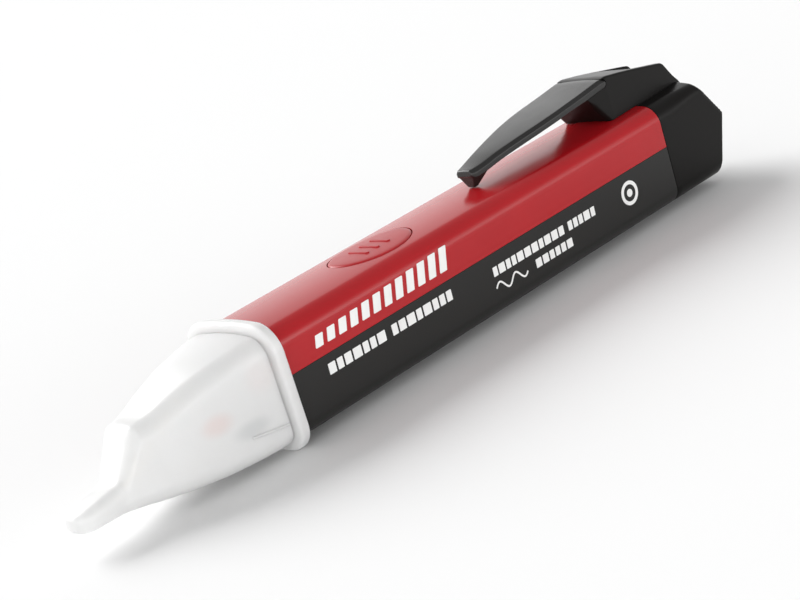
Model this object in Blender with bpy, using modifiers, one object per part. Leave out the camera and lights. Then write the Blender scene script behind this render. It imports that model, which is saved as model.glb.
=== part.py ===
"""Non-contact voltage tester in pen form: two-part handle, translucent probe nose,
pull-off tail cap with pocket clip, press pad, circuit board and two AAA cells in line.

The pen lies along X with its probe tip at -X and its clip side up (+Z).
Drawing coordinates are millimetres: x from the probe tip, y across, z from the handle's
flat underside. world() moves them to the part's frame (origin under the middle of the
bounding box, on the plane that the nose collar touches).
"""
import bpy
import bmesh
import math
from mathutils import Matrix, Vector

# ---------------------------------------------------------------- driving dimensions (mm)
MM = 0.001
X_TIP = -0.6            # front of the probe tongue
X_END = 158.5           # rearmost ridge of the tail cap
X_MID = (X_TIP + X_END) / 2
COLLAR_OUT = 1.52       # nose collar stands proud of the handle by this much
Z_UNDER = COLLAR_OUT    # handle underside above the origin plane

HALF_BOT = 9.74         # handle half width at the underside
HALF_TOP = 10.39        # handle half width at the top corners
SIDE_H = 18.89          # height of the top corners
CROWN = 1.0             # rise of the crowned top face
R_BOT = 3.06            # lower corner radius
R_TOP = 2.92            # upper corner radius
Z_PART = 11.12          # parting plane between the two shells
WALL = 1.6              # shell wall
X_COLLAR_F = 38.05      # collar front face
X_COLLAR_R = 40.05      # collar rear face
X_SEAM = 139.43         # handle ends, tail cap starts
SEAM = 0.07             # hairline seams on flat faces
X_SPIGOT = 33.6         # front of the shell spigots inside the nose
SPIGOT_OUT = 2.5        # spigot outer face, in from the handle's outside
SPIGOT_IN = 3.3         # spigot inner face
NOSE_WALL = 1.4

PAD_X = 72.2            # press pad centre
PAD_A = 8.5             # press pad half length
PAD_B = 6.2             # press pad half width
PAD_GAP = 0.3
PAD_PROUD = 0.2
STEM_Z = 16.55          # underside of the pad's stem

CLIP_TIP_X = 97.8       # blunt front of the clip leaf
CLIP_ROOT_X = 132.1     # flexing root of the clip (hinge axis)
CLIP_ROOT_Z = 26.86
CLIP_T = 1.64           # leaf thickness
BLOCK_FRONT = 6.0       # clip block half width where the leaf starts
BLOCK_REAR = 5.05       # and at its rear end
APEX_Z = 11.35          # height of the ridge that the two end faces of the cap meet in
APEX_BOW = 1.3          # bow of that ridge in plan, over the side faces' distance
SLOPE_UP = 1.42         # rise of the upper end face per mm forward
SLOPE_DOWN = 2.6        # fall of the lower end face per mm forward

CELL_R = 5.25
CELL_Z = 7.7            # axis height of the cells
CELL_L = 44.5
CELL_1_X = 57.2         # nub end of the front cell
CELL_2_X = 101.8        # nub end of the rear cell

BOARD_Z = 13.45         # underside of the circuit board
BOARD_T = 0.8
BOARD_TOP = BOARD_Z + BOARD_T
BOARD_X0 = 27.2
BOARD_X1 = 86.0
BOARD_HALF = 6.6
LED_Z = 7.6

# ---------------------------------------------------------------- scene reset, collections
for old in list(bpy.data.objects):
    bpy.data.objects.remove(old, do_unlink=True)

parts = bpy.data.collections.new("voltage_tester_pen")
tools = bpy.data.collections.new("cutters")
bpy.context.scene.collection.children.link(parts)
bpy.context.scene.collection.children.link(tools)


def material(name, rgb, roughness, metallic=0.0, transmission=0.0):
    mat = bpy.data.materials.new(name)
    mat.use_nodes = True
    bsdf = mat.node_tree.nodes["Principled BSDF"]
    bsdf.inputs["Base Color"].default_value = (*rgb, 1.0)
    bsdf.inputs["Roughness"].default_value = roughness
    bsdf.inputs["Metallic"].default_value = metallic
    bsdf.inputs["Transmission Weight"].default_value = transmission
    return mat


RED = (0.434, 0.032, 0.037)
BLACK = (0.038, 0.037, 0.035)
STEEL = (0.62, 0.61, 0.58)


def world(x, y, z):
    return Vector(((x - X_MID) * MM, y * MM, (z + Z_UNDER) * MM))


# ---------------------------------------------------------------- outlines
def fillet(a, b, c, r, n):
    """Points of the arc that rounds corner b between a and c."""
    a, b, c = Vector(a), Vector(b), Vector(c)
    d1 = (a - b).normalized()
    d2 = (c - b).normalized()
    half = d1.angle(d2) / 2
    reach = r / math.tan(half)
    centre = b + (d1 + d2).normalized() * (r / math.sin(half))
    p = b + d1 * reach - centre
    q = b + d2 * reach - centre
    turn = p.angle_signed(q)
    return [centre + Matrix.Rotation(-turn * k / n, 2) @ p for k in range(n + 1)]


def section(b0, b1, z0, z1, rb, rt, crown, n=6):
    """Closed (y, z) outline of the handle family: tapered sides, rounded corners, crowned top.

    It starts at the underside's middle, goes up the -Y side and comes down the +Y side.
    """
    side = [Vector((0.0, z0))]
    side += fillet((0, z0), (-b0, z0), (-b1, z1), rb, n)
    side += fillet((-b0, z0), (-b1, z1), (0, z1), rt, n)
    edge = -side[-1].x
    for k in range(1, 5):
        side.append(Vector((-edge * (1 - k / 4), z1)))
    for p in side:
        if p.y > z1 - rt - 1e-6:
            p.y += crown * (1 - min(1.0, (p.x / b1) ** 2))
    far = [Vector((-p.x, p.y)) for p in side[-2:0:-1]]
    return side + far


def handle(offset):
    """Handle outline moved in (negative) or out (positive) by offset.

    Deep inside, where the spigots sit in the nose, the corners stay rounder.
    """
    low = max(0.5, R_BOT + offset) if offset > -2.0 else 4.6 + 0.8 * offset
    high = max(0.5, R_TOP + offset) if offset > -2.0 else 4.6 + 0.8 * offset
    return section(HALF_BOT + offset, HALF_TOP + offset, -offset, SIDE_H + offset, low, high, CROWN)


def side_at(offset, z):
    """Handle half width at height z."""
    return HALF_BOT + (HALF_TOP - HALF_BOT) * z / SIDE_H + offset


def upper_half(offset, z):
    """Open run of the handle outline above z, from the -Y side over the top to the +Y side."""
    run = [p for p in handle(offset) if p.y > z + 0.3]
    ends = side_at(offset, z)
    return [Vector((-ends, z))] + run + [Vector((ends, z))]


def lower_half(offset, z):
    """Open run of the handle outline below z, from the +Y side under the bottom to the -Y side."""
    run = [p for p in handle(offset) if p.y < z - 0.3]
    left = [p for p in run if p.x <= 0]
    right = [p for p in run if p.x > 0]
    ends = side_at(offset, z)
    return [Vector((ends, z))] + right + left + [Vector((-ends, z))]


def ellipse(cx, cy, a, b, n=40):
    return [Vector((cx + a * math.cos(2 * math.pi * k / n), cy + b * math.sin(2 * math.pi * k / n)))
            for k in range(n)]


# ---------------------------------------------------------------- object builders
def finish(obj, mat, collection):
    if mat is not None:
        obj.data.materials.clear()
        obj.data.materials.append(mat)
    collection.objects.link(obj)
    if collection is tools:
        obj.hide_render = True
        obj.display_type = "WIRE"
    return obj


def corners_only(outline):
    """Outline without the points that lie on a straight line between their neighbours."""
    kept = []
    for k, p in enumerate(outline):
        a = Vector(outline[k - 1])
        b = Vector(p)
        c = Vector(outline[(k + 1) % len(outline)])
        if abs((b - a).cross(c - b)) > 1e-4:
            kept.append(b)
    return kept


def prism(name, outline, lo, hi, axis, mat=None, collection=None):
    """Flat outline extruded from lo to hi along an axis.

    Outlines are (y, z) for axis X, (x, z) for axis Y and (x, y) for axis Z.
    """
    outline = corners_only(outline)
    curve = bpy.data.curves.new(name, "CURVE")
    curve.dimensions = "2D"
    curve.fill_mode = "BOTH"
    curve.extrude = (hi - lo) / 2 * MM
    spline = curve.splines.new("POLY")
    spline.points.add(len(outline) - 1)
    for point, p in zip(spline.points, outline):
        point.co = (p[0] * MM, p[1] * MM, 0.0, 1.0)
    spline.use_cyclic_u = True
    guide = bpy.data.objects.new(name + "_outline", curve)
    bpy.context.scene.collection.objects.link(guide)
    mid = (lo + hi) / 2
    if axis == "X":
        guide.rotation_euler = (math.pi / 2, 0, math.pi / 2)
        guide.location = world(mid, 0, 0)
    elif axis == "Y":
        guide.rotation_euler = (math.pi / 2, 0, 0)
        guide.location = world(0, mid, 0)
    else:
        guide.location = world(0, 0, mid)
    bpy.context.view_layer.update()
    depsgraph = bpy.context.evaluated_depsgraph_get()
    mesh = bpy.data.meshes.new_from_object(guide.evaluated_get(depsgraph))
    bm = bmesh.new()
    bm.from_mesh(mesh)
    bmesh.ops.remove_doubles(bm, verts=bm.verts, dist=1e-6)
    bmesh.ops.recalc_face_normals(bm, faces=bm.faces)
    bm.to_mesh(mesh)
    bm.free()
    mesh.name = name
    obj = bpy.data.objects.new(name, mesh)
    obj.matrix_world = guide.matrix_world.copy()
    bpy.data.objects.remove(guide, do_unlink=True)
    return finish(obj, mat, collection or tools)


def box(name, x, y, z, mat=None, collection=None, bevel=0.0):
    """Box between the (lo, hi) pairs x, y and z."""
    bm = bmesh.new()
    bmesh.ops.create_cube(bm, size=1.0)
    size = Vector(((x[1] - x[0]) * MM, (y[1] - y[0]) * MM, (z[1] - z[0]) * MM))
    bmesh.ops.scale(bm, vec=size, verts=bm.verts)
    mesh = bpy.data.meshes.new(name)
    bm.to_mesh(mesh)
    bm.free()
    obj = bpy.data.objects.new(name, mesh)
    obj.location = world((x[0] + x[1]) / 2, (y[0] + y[1]) / 2, (z[0] + z[1]) / 2)
    if bevel:
        rounding = obj.modifiers.new("edges", "BEVEL")
        rounding.width = bevel * MM
        rounding.segments = 2
    return finish(obj, mat, collection or tools)


def rod(name, centre, radius, length, axis, mat=None, collection=None, sides=32):
    """Cylinder centred at centre, along X, Y or Z."""
    bm = bmesh.new()
    bmesh.ops.create_cone(bm, cap_ends=True, cap_tris=False, segments=sides,
                          radius1=radius * MM, radius2=radius * MM, depth=length * MM)
    mesh = bpy.data.meshes.new(name)
    bm.to_mesh(mesh)
    bm.free()
    obj = bpy.data.objects.new(name, mesh)
    obj.location = world(*centre)
    obj.rotation_euler = {"X": (0, math.pi / 2, 0), "Y": (math.pi / 2, 0, 0), "Z": (0, 0, 0)}[axis]
    mesh.shade_smooth()
    mesh.set_sharp_from_angle(angle=math.radians(40))
    return finish(obj, mat, collection or tools)


def turned(name, profile, centre, axis, mat=None, collection=None, steps=28):
    """Solid of revolution; profile is (radius, height), top to bottom on the outer side."""
    mesh = bpy.data.meshes.new(name)
    bm = bmesh.new()
    verts = [bm.verts.new((r * MM, 0.0, h * MM)) for r, h in profile]
    for a, b in zip(verts, verts[1:]):
        bm.edges.new((a, b))
    bm.to_mesh(mesh)
    bm.free()
    obj = bpy.data.objects.new(name, mesh)
    screw = obj.modifiers.new("turn", "SCREW")
    screw.steps = steps
    screw.render_steps = steps
    screw.use_merge_vertices = True
    screw.merge_threshold = 0.000001
    obj.location = world(*centre)
    obj.rotation_euler = {"X": (0, math.pi / 2, 0), "-X": (0, -math.pi / 2, 0), "Z": (0, 0, 0)}[axis]
    return finish(obj, mat, collection or tools)


def wire(name, points, radius, mat, collection=None, resolution=2):
    """Round wire through points, with closed ends."""
    curve = bpy.data.curves.new(name, "CURVE")
    curve.dimensions = "3D"
    curve.bevel_depth = radius * MM
    curve.bevel_resolution = resolution
    curve.use_fill_caps = True
    spline = curve.splines.new("POLY")
    spline.points.add(len(points) - 1)
    for point, p in zip(spline.points, points):
        point.co = (*world(*p), 1.0)
    obj = bpy.data.objects.new(name, curve)
    return finish(obj, mat, collection or parts)


def loft(name, stations, mat=None, collection=None):
    """Solid through rings of equal point count; stations are (x, outline in y and z)."""
    mesh = bpy.data.meshes.new(name)
    bm = bmesh.new()
    rings = []
    for x, outline in stations:
        rings.append([bm.verts.new(world(x, p[0], p[1])) for p in outline])
    count = len(rings[0])
    for r0, r1 in zip(rings, rings[1:]):
        for k in range(count):
            bm.faces.new((r0[k], r0[(k + 1) % count], r1[(k + 1) % count], r1[k]))
    bm.faces.new(list(reversed(rings[0])))
    bm.faces.new(rings[-1])
    bmesh.ops.recalc_face_normals(bm, faces=bm.faces)
    bm.to_mesh(mesh)
    bm.free()
    obj = bpy.data.objects.new(name, mesh)
    mesh.shade_smooth()
    mesh.set_sharp_from_angle(angle=math.radians(35))
    return finish(obj, mat, collection or tools)


def boolean(obj, operation, *others):
    for other in others:
        mod = obj.modifiers.new(operation.lower() + "_" + other.name, "BOOLEAN")
        mod.operation = operation
        mod.solver = "EXACT"
        mod.object = other
    return obj


def cut(obj, *others):
    return boolean(obj, "DIFFERENCE", *others)


def join(obj, *others):
    return boolean(obj, "UNION", *others)


def common(obj, *others):
    return boolean(obj, "INTERSECT", *others)


def joint_empty(name, x, y, z, *children):
    """Parent empty on a moving piece's joint axis."""
    empty = bpy.data.objects.new(name, None)
    empty.empty_display_size = 0.005
    empty.location = world(x, y, z)
    parts.objects.link(empty)
    bpy.context.view_layer.update()
    for child in children:
        child.parent = empty
        child.matrix_parent_inverse = empty.matrix_world.inverted()
    return empty


# ---------------------------------------------------------------- probe nose
# (x, half width low, half width high, bottom z, top z, crown)
NOSE = [
    (-0.6, 1.1, 1.0, 3.9, 5.8, 0.0),
    (-0.35, 1.9, 1.8, 3.55, 6.15, 0.0),
    (0.3, 2.75, 2.6, 3.3, 6.5, 0.0),
    (1.4, 3.35, 3.2, 3.15, 6.75, 0.0),
    (2.9, 3.65, 3.5, 3.08, 7.0, 0.0),
    (5.2, 3.75, 3.6, 3.0, 7.35, 0.0),
    (7.6, 3.85, 3.7, 2.85, 7.75, 0.0),
    (8.6, 4.1, 3.9, 2.72, 8.3, 0.0),
    (9.6, 4.45, 4.2, 2.57, 9.6, 0.05),
    (10.7, 4.85, 4.4, 2.4, 11.1, 0.1),
    (11.8, 5.2, 4.6, 2.22, 12.6, 0.1),
    (12.7, 5.5, 4.75, 2.05, 14.0, 0.15),
    (13.6, 5.8, 4.95, 1.85, 14.85, 0.2),
    (16.4, 6.6, 5.6, 1.4, 15.2, 0.3),
    (21.5, 7.85, 6.8, 0.75, 16.6, 0.5),
    (28.0, 8.8, 8.4, 0.2, 18.0, 0.7),
    (33.0, 9.35, 9.4, 0.02, 18.6, 0.9),
    (36.4, 9.6, 10.1, 0.0, 18.85, 1.0),
    (39.2, 9.6, 10.2, 0.0, 18.85, 1.0),
]


def nose_ring(b0, b1, z0, z1, crown, inset):
    b0 -= inset
    b1 -= inset
    z0 += inset
    z1 -= inset
    r = min(R_BOT, (z1 - z0) * 0.42, b1 * 0.6) - inset * 0.35
    return section(b0, b1, z0, z1, max(r, 0.2), max(r, 0.2), crown)


mat_nose = material("translucent_polycarbonate", (0.83, 0.83, 0.82), 0.35, 0.0, 0.6)
nose = loft("nose_cone", [(x, nose_ring(b0, b1, z0, z1, c, 0.0)) for x, b0, b1, z0, z1, c in NOSE],
            mat_nose, parts)
collar = prism("collar_ring", handle(COLLAR_OUT), X_COLLAR_F, X_COLLAR_R, "X")
collar_edge = collar.modifiers.new("edges", "BEVEL")
collar_edge.width = 0.55 * MM
collar_edge.segments = 3
collar_edge.limit_method = "ANGLE"
collar_edge.angle_limit = math.radians(50)

# cavity: same stations, set in by the wall; a flat tunnel continues into the tongue
cavity_rings = []
for x, b0, b1, z0, z1, c in NOSE:
    if x < 1.4:
        continue
    if x < 8.0:
        mid = (z0 + z1) / 2
        cavity_rings.append((x + 0.4, section(2.0, 2.0, mid - 0.5, mid + 0.5, 0.3, 0.3, 0.0)))
    elif x < 39.0:
        cavity_rings.append((x + 0.9, nose_ring(b0, b1, z0, z1, c, NOSE_WALL)))
cavity_rings.append((41.0, nose_ring(9.6, 10.2, 0.0, 18.85, 1.0, NOSE_WALL)))
nose_cavity = loft("nose_cavity", cavity_rings)
join(nose, collar)
cut(nose, nose_cavity)

# ---------------------------------------------------------------- upper shell
mat_red = material("red_abs", RED, 0.3)
z_up = Z_PART + SEAM / 2
outer = upper_half(0.0, z_up)
inner = list(reversed(upper_half(-WALL, 12.1)))
step = [Vector((side_at(-WALL, 12.1), 12.1)), Vector((side_at(-0.75, 12.1), 12.1)),
        Vector((side_at(-0.75, z_up), z_up))]
step_far = [Vector((-side_at(-0.75, z_up), z_up)), Vector((-side_at(-0.75, 12.1), 12.1))]
profile = outer + [step[2], step[1]] + inner + [step_far[1], step_far[0]]
upper = prism("upper_shell", profile, X_COLLAR_R + SEAM, X_SEAM, "X", mat_red, parts)


def half_ring(name, half, out, inn, z, lo, hi):
    """C-shaped ring between two offsets of the handle outline, on one side of the plane z."""
    return prism(name, half(-out, z) + list(reversed(half(-inn, z))), lo, hi, "X")


upper_collar = half_ring("upper_collar", upper_half, 0.8, SPIGOT_IN - 0.2, Z_PART + 0.15,
                         X_COLLAR_R + 0.3, X_COLLAR_R + 1.6)
upper_spigot = half_ring("upper_spigot", upper_half, SPIGOT_OUT, SPIGOT_IN, Z_PART + 0.22,
                         X_SPIGOT, X_COLLAR_R + 1.2)
pad_hole = prism("pad_hole", ellipse(PAD_X, 0, PAD_A + PAD_GAP, PAD_B + PAD_GAP), 14.0, 24.0, "Z")
join(upper, upper_collar, upper_spigot)
cut(upper, pad_hole)

# ---------------------------------------------------------------- lower shell
mat_black = material("black_abs", BLACK, 0.42)
z_dn = Z_PART - SEAM / 2
lower = prism("lower_shell", lower_half(0.0, z_dn) + list(reversed(lower_half(-WALL, z_dn))),
              X_COLLAR_R + SEAM, X_SEAM, "X", mat_black, parts)
lower_collar = half_ring("lower_collar", lower_half, 0.8, SPIGOT_IN - 0.2, Z_PART - 0.15,
                         X_COLLAR_R + 0.3, X_COLLAR_R + 1.6)
lower_spigot = half_ring("lower_spigot", lower_half, SPIGOT_OUT, SPIGOT_IN, Z_PART - 0.22,
                         X_SPIGOT, X_COLLAR_R + 1.2)
join(lower, lower_collar, lower_spigot)
for side, tag in ((-1, "near"), (1, "far")):
    lip = prism("lip_" + tag,
                [Vector((side * side_at(-0.87, 10.4), 10.4)), Vector((side * side_at(-0.87, 12.0), 12.0)),
                 Vector((side * side_at(-1.55, 12.0), 12.0)), Vector((side * side_at(-1.55, 10.4), 10.4))],
                X_COLLAR_R + 2.2, X_SEAM - 8.0, "X")
    join(lower, lip)

# ---------------------------------------------------------------- tail cap
mat_cap = material("black_abs_cap", BLACK, 0.38)


def end_reach(x, d, slope):
    """Distance from the cap's ridge line to its end face in the unit direction d, at station x."""
    low, high = 0.0, 40.0
    for _ in range(36):
        r = (low + high) / 2
        t = X_END + 0.03 - APEX_BOW * (r * d.x / 9.7) ** 2 - x
        limit = slope * math.sqrt(t * t + 0.24 * t) if t > 0 else slope * t
        if r * abs(d.y) < limit:
            low = r
        else:
            high = r
    return low


def cap_ring(x):
    """Handle outline, cut by the two bowed end faces with softened edges."""
    run = upper_half(0.0, APEX_Z) + lower_half(0.0, APEX_Z)[1:-1]
    outline = []
    for k, a in enumerate(run):
        b = run[(k + 1) % len(run)]
        steps = max(1, round((b - a).length / 1.5))
        outline += [a.lerp(b, j / steps) for j in range(steps)]
    ring = []
    for p in outline:
        d = p - Vector((0.0, APEX_Z))
        full = d.length
        d.normalize()
        end = end_reach(x, d, SLOPE_UP if d.y > 0 else SLOPE_DOWN)
        h = min(1.0, max(0.0, 0.5 + 0.5 * (end - full) / 1.6))
        r = end * (1 - h) + full * h - 1.6 * h * (1 - h)
        ring.append(Vector((0.0, APEX_Z)) + d * r)
    return ring


CAP = [X_SEAM + SEAM, 148.0, 149.6, 150.6, 151.4, 152.2, 153.1, 154.1, 155.1, 156.0, 156.7, 157.3, 157.8, 158.2,
       158.42, X_END]
cap = loft("tail_cap", [(x, cap_ring(x)) for x in CAP], mat_cap, parts)

# clip block: its sides run on from the leaf's and close in towards the tail
block_side = [(132.75, 17.5), (130.75, 20.3), (127.35, 25.1), (131.0, 25.55), (133.0, 25.75), (133.0, 27.5),
              (133.6, 27.85), (141.5, 26.28), (149.3, 24.5), (150.0, 24.15), (151.0, 22.5), (151.8, 21.2),
              (152.5, 20.3), (153.1, 19.6), (153.7, 18.2), (152.2, 17.5)]
block = prism("clip_block", block_side, -7.0, 7.0, "Y")
common(block, prism("block_plan", [(125.0, -BLOCK_FRONT), (132.5, -BLOCK_FRONT), (150.0, -BLOCK_REAR),
                                   (156.0, -4.7), (156.0, 4.7), (150.0, BLOCK_REAR), (132.5, BLOCK_FRONT),
                                   (125.0, BLOCK_FRONT)], 15.0, 30.0, "Z"))
block_edge = block.modifiers.new("edges", "BEVEL")
block_edge.width = 0.35 * MM
block_edge.segments = 2
block_edge.limit_method = "ANGLE"
block_edge.angle_limit = math.radians(60)
saddle = prism("block_saddle", handle(0.12), 120.0, X_SEAM + 0.2, "X")
cut(block, saddle)
trough = prism("block_trough", [(142.0, -4.2), (156.0, -3.5), (156.0, 3.5), (142.0, 4.2)], 22.1, 30.0, "Z")
plug = prism("cap_plug", handle(-WALL - 0.12), X_SEAM - 6.4, X_SEAM + 1.0, "X")
plug_bore = prism("cap_plug_bore", handle(-WALL - 1.15), X_SEAM - 8.0, X_SEAM - 0.6, "X")
cell_bore = rod("cap_cell_bore", (140.0, 0, CELL_Z), 5.7, 21.0, "X", sides=40)
spring_bore = rod("cap_spring_bore", (148.0, 0, CELL_Z), 4.4, 8.8, "X", sides=36)
arm_slot = box("cap_arm_slot", (130.0, 152.4), (2.0, 6.8), (CELL_Z - 0.95, CELL_Z + 0.95))
join(cap, block, plug)
cut(cap, plug_bore, cell_bore, spring_bore, arm_slot, trough)

# ---------------------------------------------------------------- pocket clip
LEAF = [
    # x, half width, top z
    (98.9, 2.45, 23.6),
    (104.6, 3.6, 24.62),
    (109.5, 4.6, 25.35),
    (114.5, 5.5, 25.98),
    (119.4, 5.95, 26.5),
    (126.0, 6.0, 27.1),
    (131.4, 6.0, 27.66),
]


def leaf_ring(half, top, thick):
    """Flat rounded bar, a little crowned on top."""
    return section(half, half - 0.25, top - thick, top, min(0.3, thick * 0.3), min(0.45, thick * 0.35),
                   0.12, n=3)


rings = [(CLIP_TIP_X, leaf_ring(1.7, 23.25, 0.8)),
         (CLIP_TIP_X + 0.12, leaf_ring(1.95, 23.45, 1.2)),
         (CLIP_TIP_X + 0.4, leaf_ring(2.15, 23.54, 1.45))]
rings += [(x, leaf_ring(w, z, CLIP_T)) for x, w, z in LEAF]
for turn in (30, 60, 80):
    s, c = math.sin(math.radians(turn)), math.cos(math.radians(turn))
    r = CLIP_T / 2
    rings.append((CLIP_ROOT_X + r * s * 0.95, leaf_ring(6.0, CLIP_ROOT_Z + r * c, 2 * r * c)))
mat_clip = material("black_abs_clip", (0.06, 0.058, 0.056), 0.25)
clip = loft("pocket_clip", rings, mat_clip, parts)
hook = prism("clip_hook", [(98.2, 22.9), (98.15, 22.3), (98.55, 20.5), (98.85, 20.03), (99.5, 20.03),
                           (99.9, 20.35), (102.9, 22.6), (103.2, 23.3)], -3.0, 3.0, "Y")
common(hook, prism("hook_front", [(-0.85, 19.5), (0.85, 19.5), (1.0, 20.3), (2.1, 22.4), (2.1, 24.0),
                                  (-2.1, 24.0), (-2.1, 22.4), (-1.0, 20.3)], 97.0, 104.0, "X"))
join(clip, hook)

# ---------------------------------------------------------------- press pad
mat_pad = material("red_abs_pad", (0.47, 0.036, 0.04), 0.35)
pad = prism("test_button", ellipse(PAD_X, 0, PAD_A, PAD_B), 15.0, 24.0, "Z", mat_pad, parts)
common(pad, prism("pad_skin", handle(PAD_PROUD), 55.0, 90.0, "X"))
skirt = prism("pad_skirt", ellipse(PAD_X, 0, PAD_A + 1.0, PAD_B + 0.9), 15.0, 24.0, "Z")
common(skirt, prism("skirt_skin", handle(-WALL - 0.15), 55.0, 90.0, "X"))
join(pad, skirt)
cut(pad, prism("pad_under", [p for p in handle(-WALL - 0.75)], 54.0, 91.0, "X"))
join(pad, rod("pad_stem", (PAD_X, 0, (STEM_Z + 18.4) / 2), 1.8, 18.4 - STEM_Z, "Z", sides=24))
for k in (-1, 0, 1):
    join(pad, box("pad_rib_%d" % (k + 2), (PAD_X + 2.6 * k - 0.45, PAD_X + 2.6 * k + 0.45), (-2.6, 2.6),
                  (19.0, 20.32)))

# ---------------------------------------------------------------- circuit board and parts on it
mat_pcb = material("fr4_green", (0.03, 0.16, 0.07), 0.45)
board_outline = [(BOARD_X0, -4.6), (31.0, -BOARD_HALF), (BOARD_X1, -BOARD_HALF), (BOARD_X1, BOARD_HALF),
                 (31.0, BOARD_HALF), (BOARD_X0, 4.6)]
board = prism("circuit_board", board_outline, BOARD_Z, BOARD_TOP, "Z", mat_pcb, parts)

mat_dark = material("switch_housing", (0.02, 0.02, 0.02), 0.5)
mat_steel = material("nickel_plate", STEEL, 0.28, 1.0)
t = BOARD_TOP + 0.03
switch = box("switch_body", (PAD_X - 2.6, PAD_X + 2.6), (-2.6, 2.6), (t, t + 1.05), mat_dark, parts)
cut(switch, rod("plunger_well", (PAD_X, 0, t + 1.1), 1.35, 0.8, "Z", sides=24))
cover = box("switch_cover", (PAD_X - 2.55, PAD_X + 2.55), (-2.55, 2.55), (t + 1.09, t + 1.34), mat_steel, parts)
cut(cover, rod("cover_hole", (PAD_X, 0, t + 1.2), 1.4, 2.0, "Z", sides=24))
mat_plunger = material("switch_plunger_nylon", (0.55, 0.1, 0.05), 0.5)
plunger = rod("switch_plunger", (PAD_X, 0, t + 1.54), 1.2, 0.86, "Z", mat_plunger, parts, sides=24)

# control chip with gull-wing legs in one body
mat_chip = material("epoxy_package", (0.012, 0.012, 0.013), 0.45)
chip = box("chip_package", (50.6, 59.2), (-1.95, 1.95), (t + 0.12, t + 1.6), mat_chip, parts)
for k in range(7):
    cx = 51.09 + 1.27 * k
    join(chip, box("chip_leg_%d" % k, (cx - 0.2, cx + 0.2), (-3.0, 3.0), (t, t + 0.22)))

mat_res = material("chip_resistor", (0.015, 0.015, 0.018), 0.4)
mat_capa = material("chip_capacitor", (0.42, 0.27, 0.15), 0.5)
for k, (x, y) in enumerate(((44.0, -3.6), (44.0, 3.4), (63.6, -4.6), (79.0, 3.0))):
    box("resistor_%d" % (k + 1), (x - 1.0, x + 1.0), (y - 0.62, y + 0.62), (t, t + 0.5), mat_res, parts,
        bevel=0.08)
for k, (x, y) in enumerate(((47.2, -0.2), (63.6, 4.2), (79.0, -3.2))):
    box("capacitor_%d" % (k + 1), (x - 1.0, x + 1.0), (y - 0.62, y + 0.62), (t, t + 0.85), mat_capa, parts,
        bevel=0.1)
transistor = box("transistor", (37.6, 40.5), (-0.65, 0.65), (t + 0.08, t + 1.05), mat_chip, parts)
join(transistor, box("transistor_legs", (38.0, 38.4), (-1.2, 1.2), (t, t + 0.2)),
     box("transistor_leg_mid", (39.7, 40.1), (0.2, 1.2), (t, t + 0.2)))

mat_buzz = material("buzzer_case", (0.018, 0.018, 0.019), 0.35)
buzz_top = BOARD_Z - 0.04
buzzer = turned("buzzer", [(0, buzz_top), (4.5, buzz_top), (4.5, 9.1), (4.2, 8.8), (1.0, 8.8), (1.0, 9.6),
                           (0, 9.6)], (46.2, 0, 0), "Z", mat_buzz, parts, steps=32)

# indicator lamp in the nose: lens with rim, two bent leads up to the board
mat_led = material("red_led_epoxy", (0.6, 0.03, 0.03), 0.15, 0.0, 0.4)
dome = [(0.0, 5.4)]
for turn in (15, 30, 45, 60, 75, 90):
    a = math.radians(turn)
    dome.append((1.5 * math.sin(a), 3.9 + 1.5 * math.cos(a)))
dome += [(1.5, 1.0), (1.9, 1.0), (1.9, 0.0), (0.0, 0.0)]
turned("led_lens", dome, (31.8, 0, LED_Z), "-X", mat_led, parts, steps=24)
mat_tin = material("tinned_wire", (0.7, 0.69, 0.66), 0.3, 1.0)
for side, tag in ((-1, "1"), (1, "2")):
    y = side * 1.27
    bend = [(31.88, y, LED_Z), (33.2, y, LED_Z)]
    for turn in (20, 45, 70, 90):
        a = math.radians(turn)
        bend.append((33.2 + 0.8 * math.sin(a), y, LED_Z + 0.8 - 0.8 * math.cos(a)))
    bend.append((34.0, y, BOARD_Z - 0.05))
    wire("led_lead_" + tag, bend, 0.24, mat_tin)

# sensing strip: soldered on the board's front edge, runs down into the tongue
mat_brass = material("sensor_brass", (0.7, 0.5, 0.22), 0.3, 1.0)
centre_line = [(31.5, BOARD_TOP + 0.2), (27.0, BOARD_TOP + 0.2), (25.0, 13.6), (21.0, 11.6), (16.5, 9.2),
               (12.6, 6.9), (10.4, 5.75), (8.0, 5.3), (2.6, 5.0)]


def ribbon(line, thick):
    """Outline of a thin strip along a centre line."""
    left, right = [], []
    for k, p in enumerate(line):
        a = Vector(line[max(0, k - 1)])
        b = Vector(line[min(len(line) - 1, k + 1)])
        d = (b - a).normalized()
        n = Vector((-d.y, d.x)) * thick / 2
        left.append(Vector(p) + n)
        right.append(Vector(p) - n)
    return left + right[::-1]


prism("sensor_strip", ribbon(centre_line, 0.25), -1.2, 1.2, "Y", mat_brass, parts)

# ---------------------------------------------------------------- battery tray and contacts
mat_tray = material("tray_abs", (0.6, 0.6, 0.58), 0.5)
tray_profile = [(-6.45, 1.75), (6.45, 1.75), (6.45, 8.4), (5.5, 8.4)]
for k in range(21):
    a = math.radians(7.0 + (166.0 * k) / 20)
    tray_profile.append((5.46 * math.cos(a), CELL_Z - 5.46 * math.sin(a)))
tray_profile += [(-5.5, 8.4), (-6.45, 8.4)]
tray = prism("battery_tray", tray_profile, 53.6, 127.0, "X", mat_tray, parts)
bulkhead = box("tray_bulkhead", (53.8, 56.4), (-6.2, 6.2), (1.9, BOARD_Z - 0.08))
join(tray, bulkhead)
join(tray, box("tray_board_post", (82.2, 84.2), (-6.4, -5.7), (7.9, BOARD_Z - 0.08)))

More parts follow.
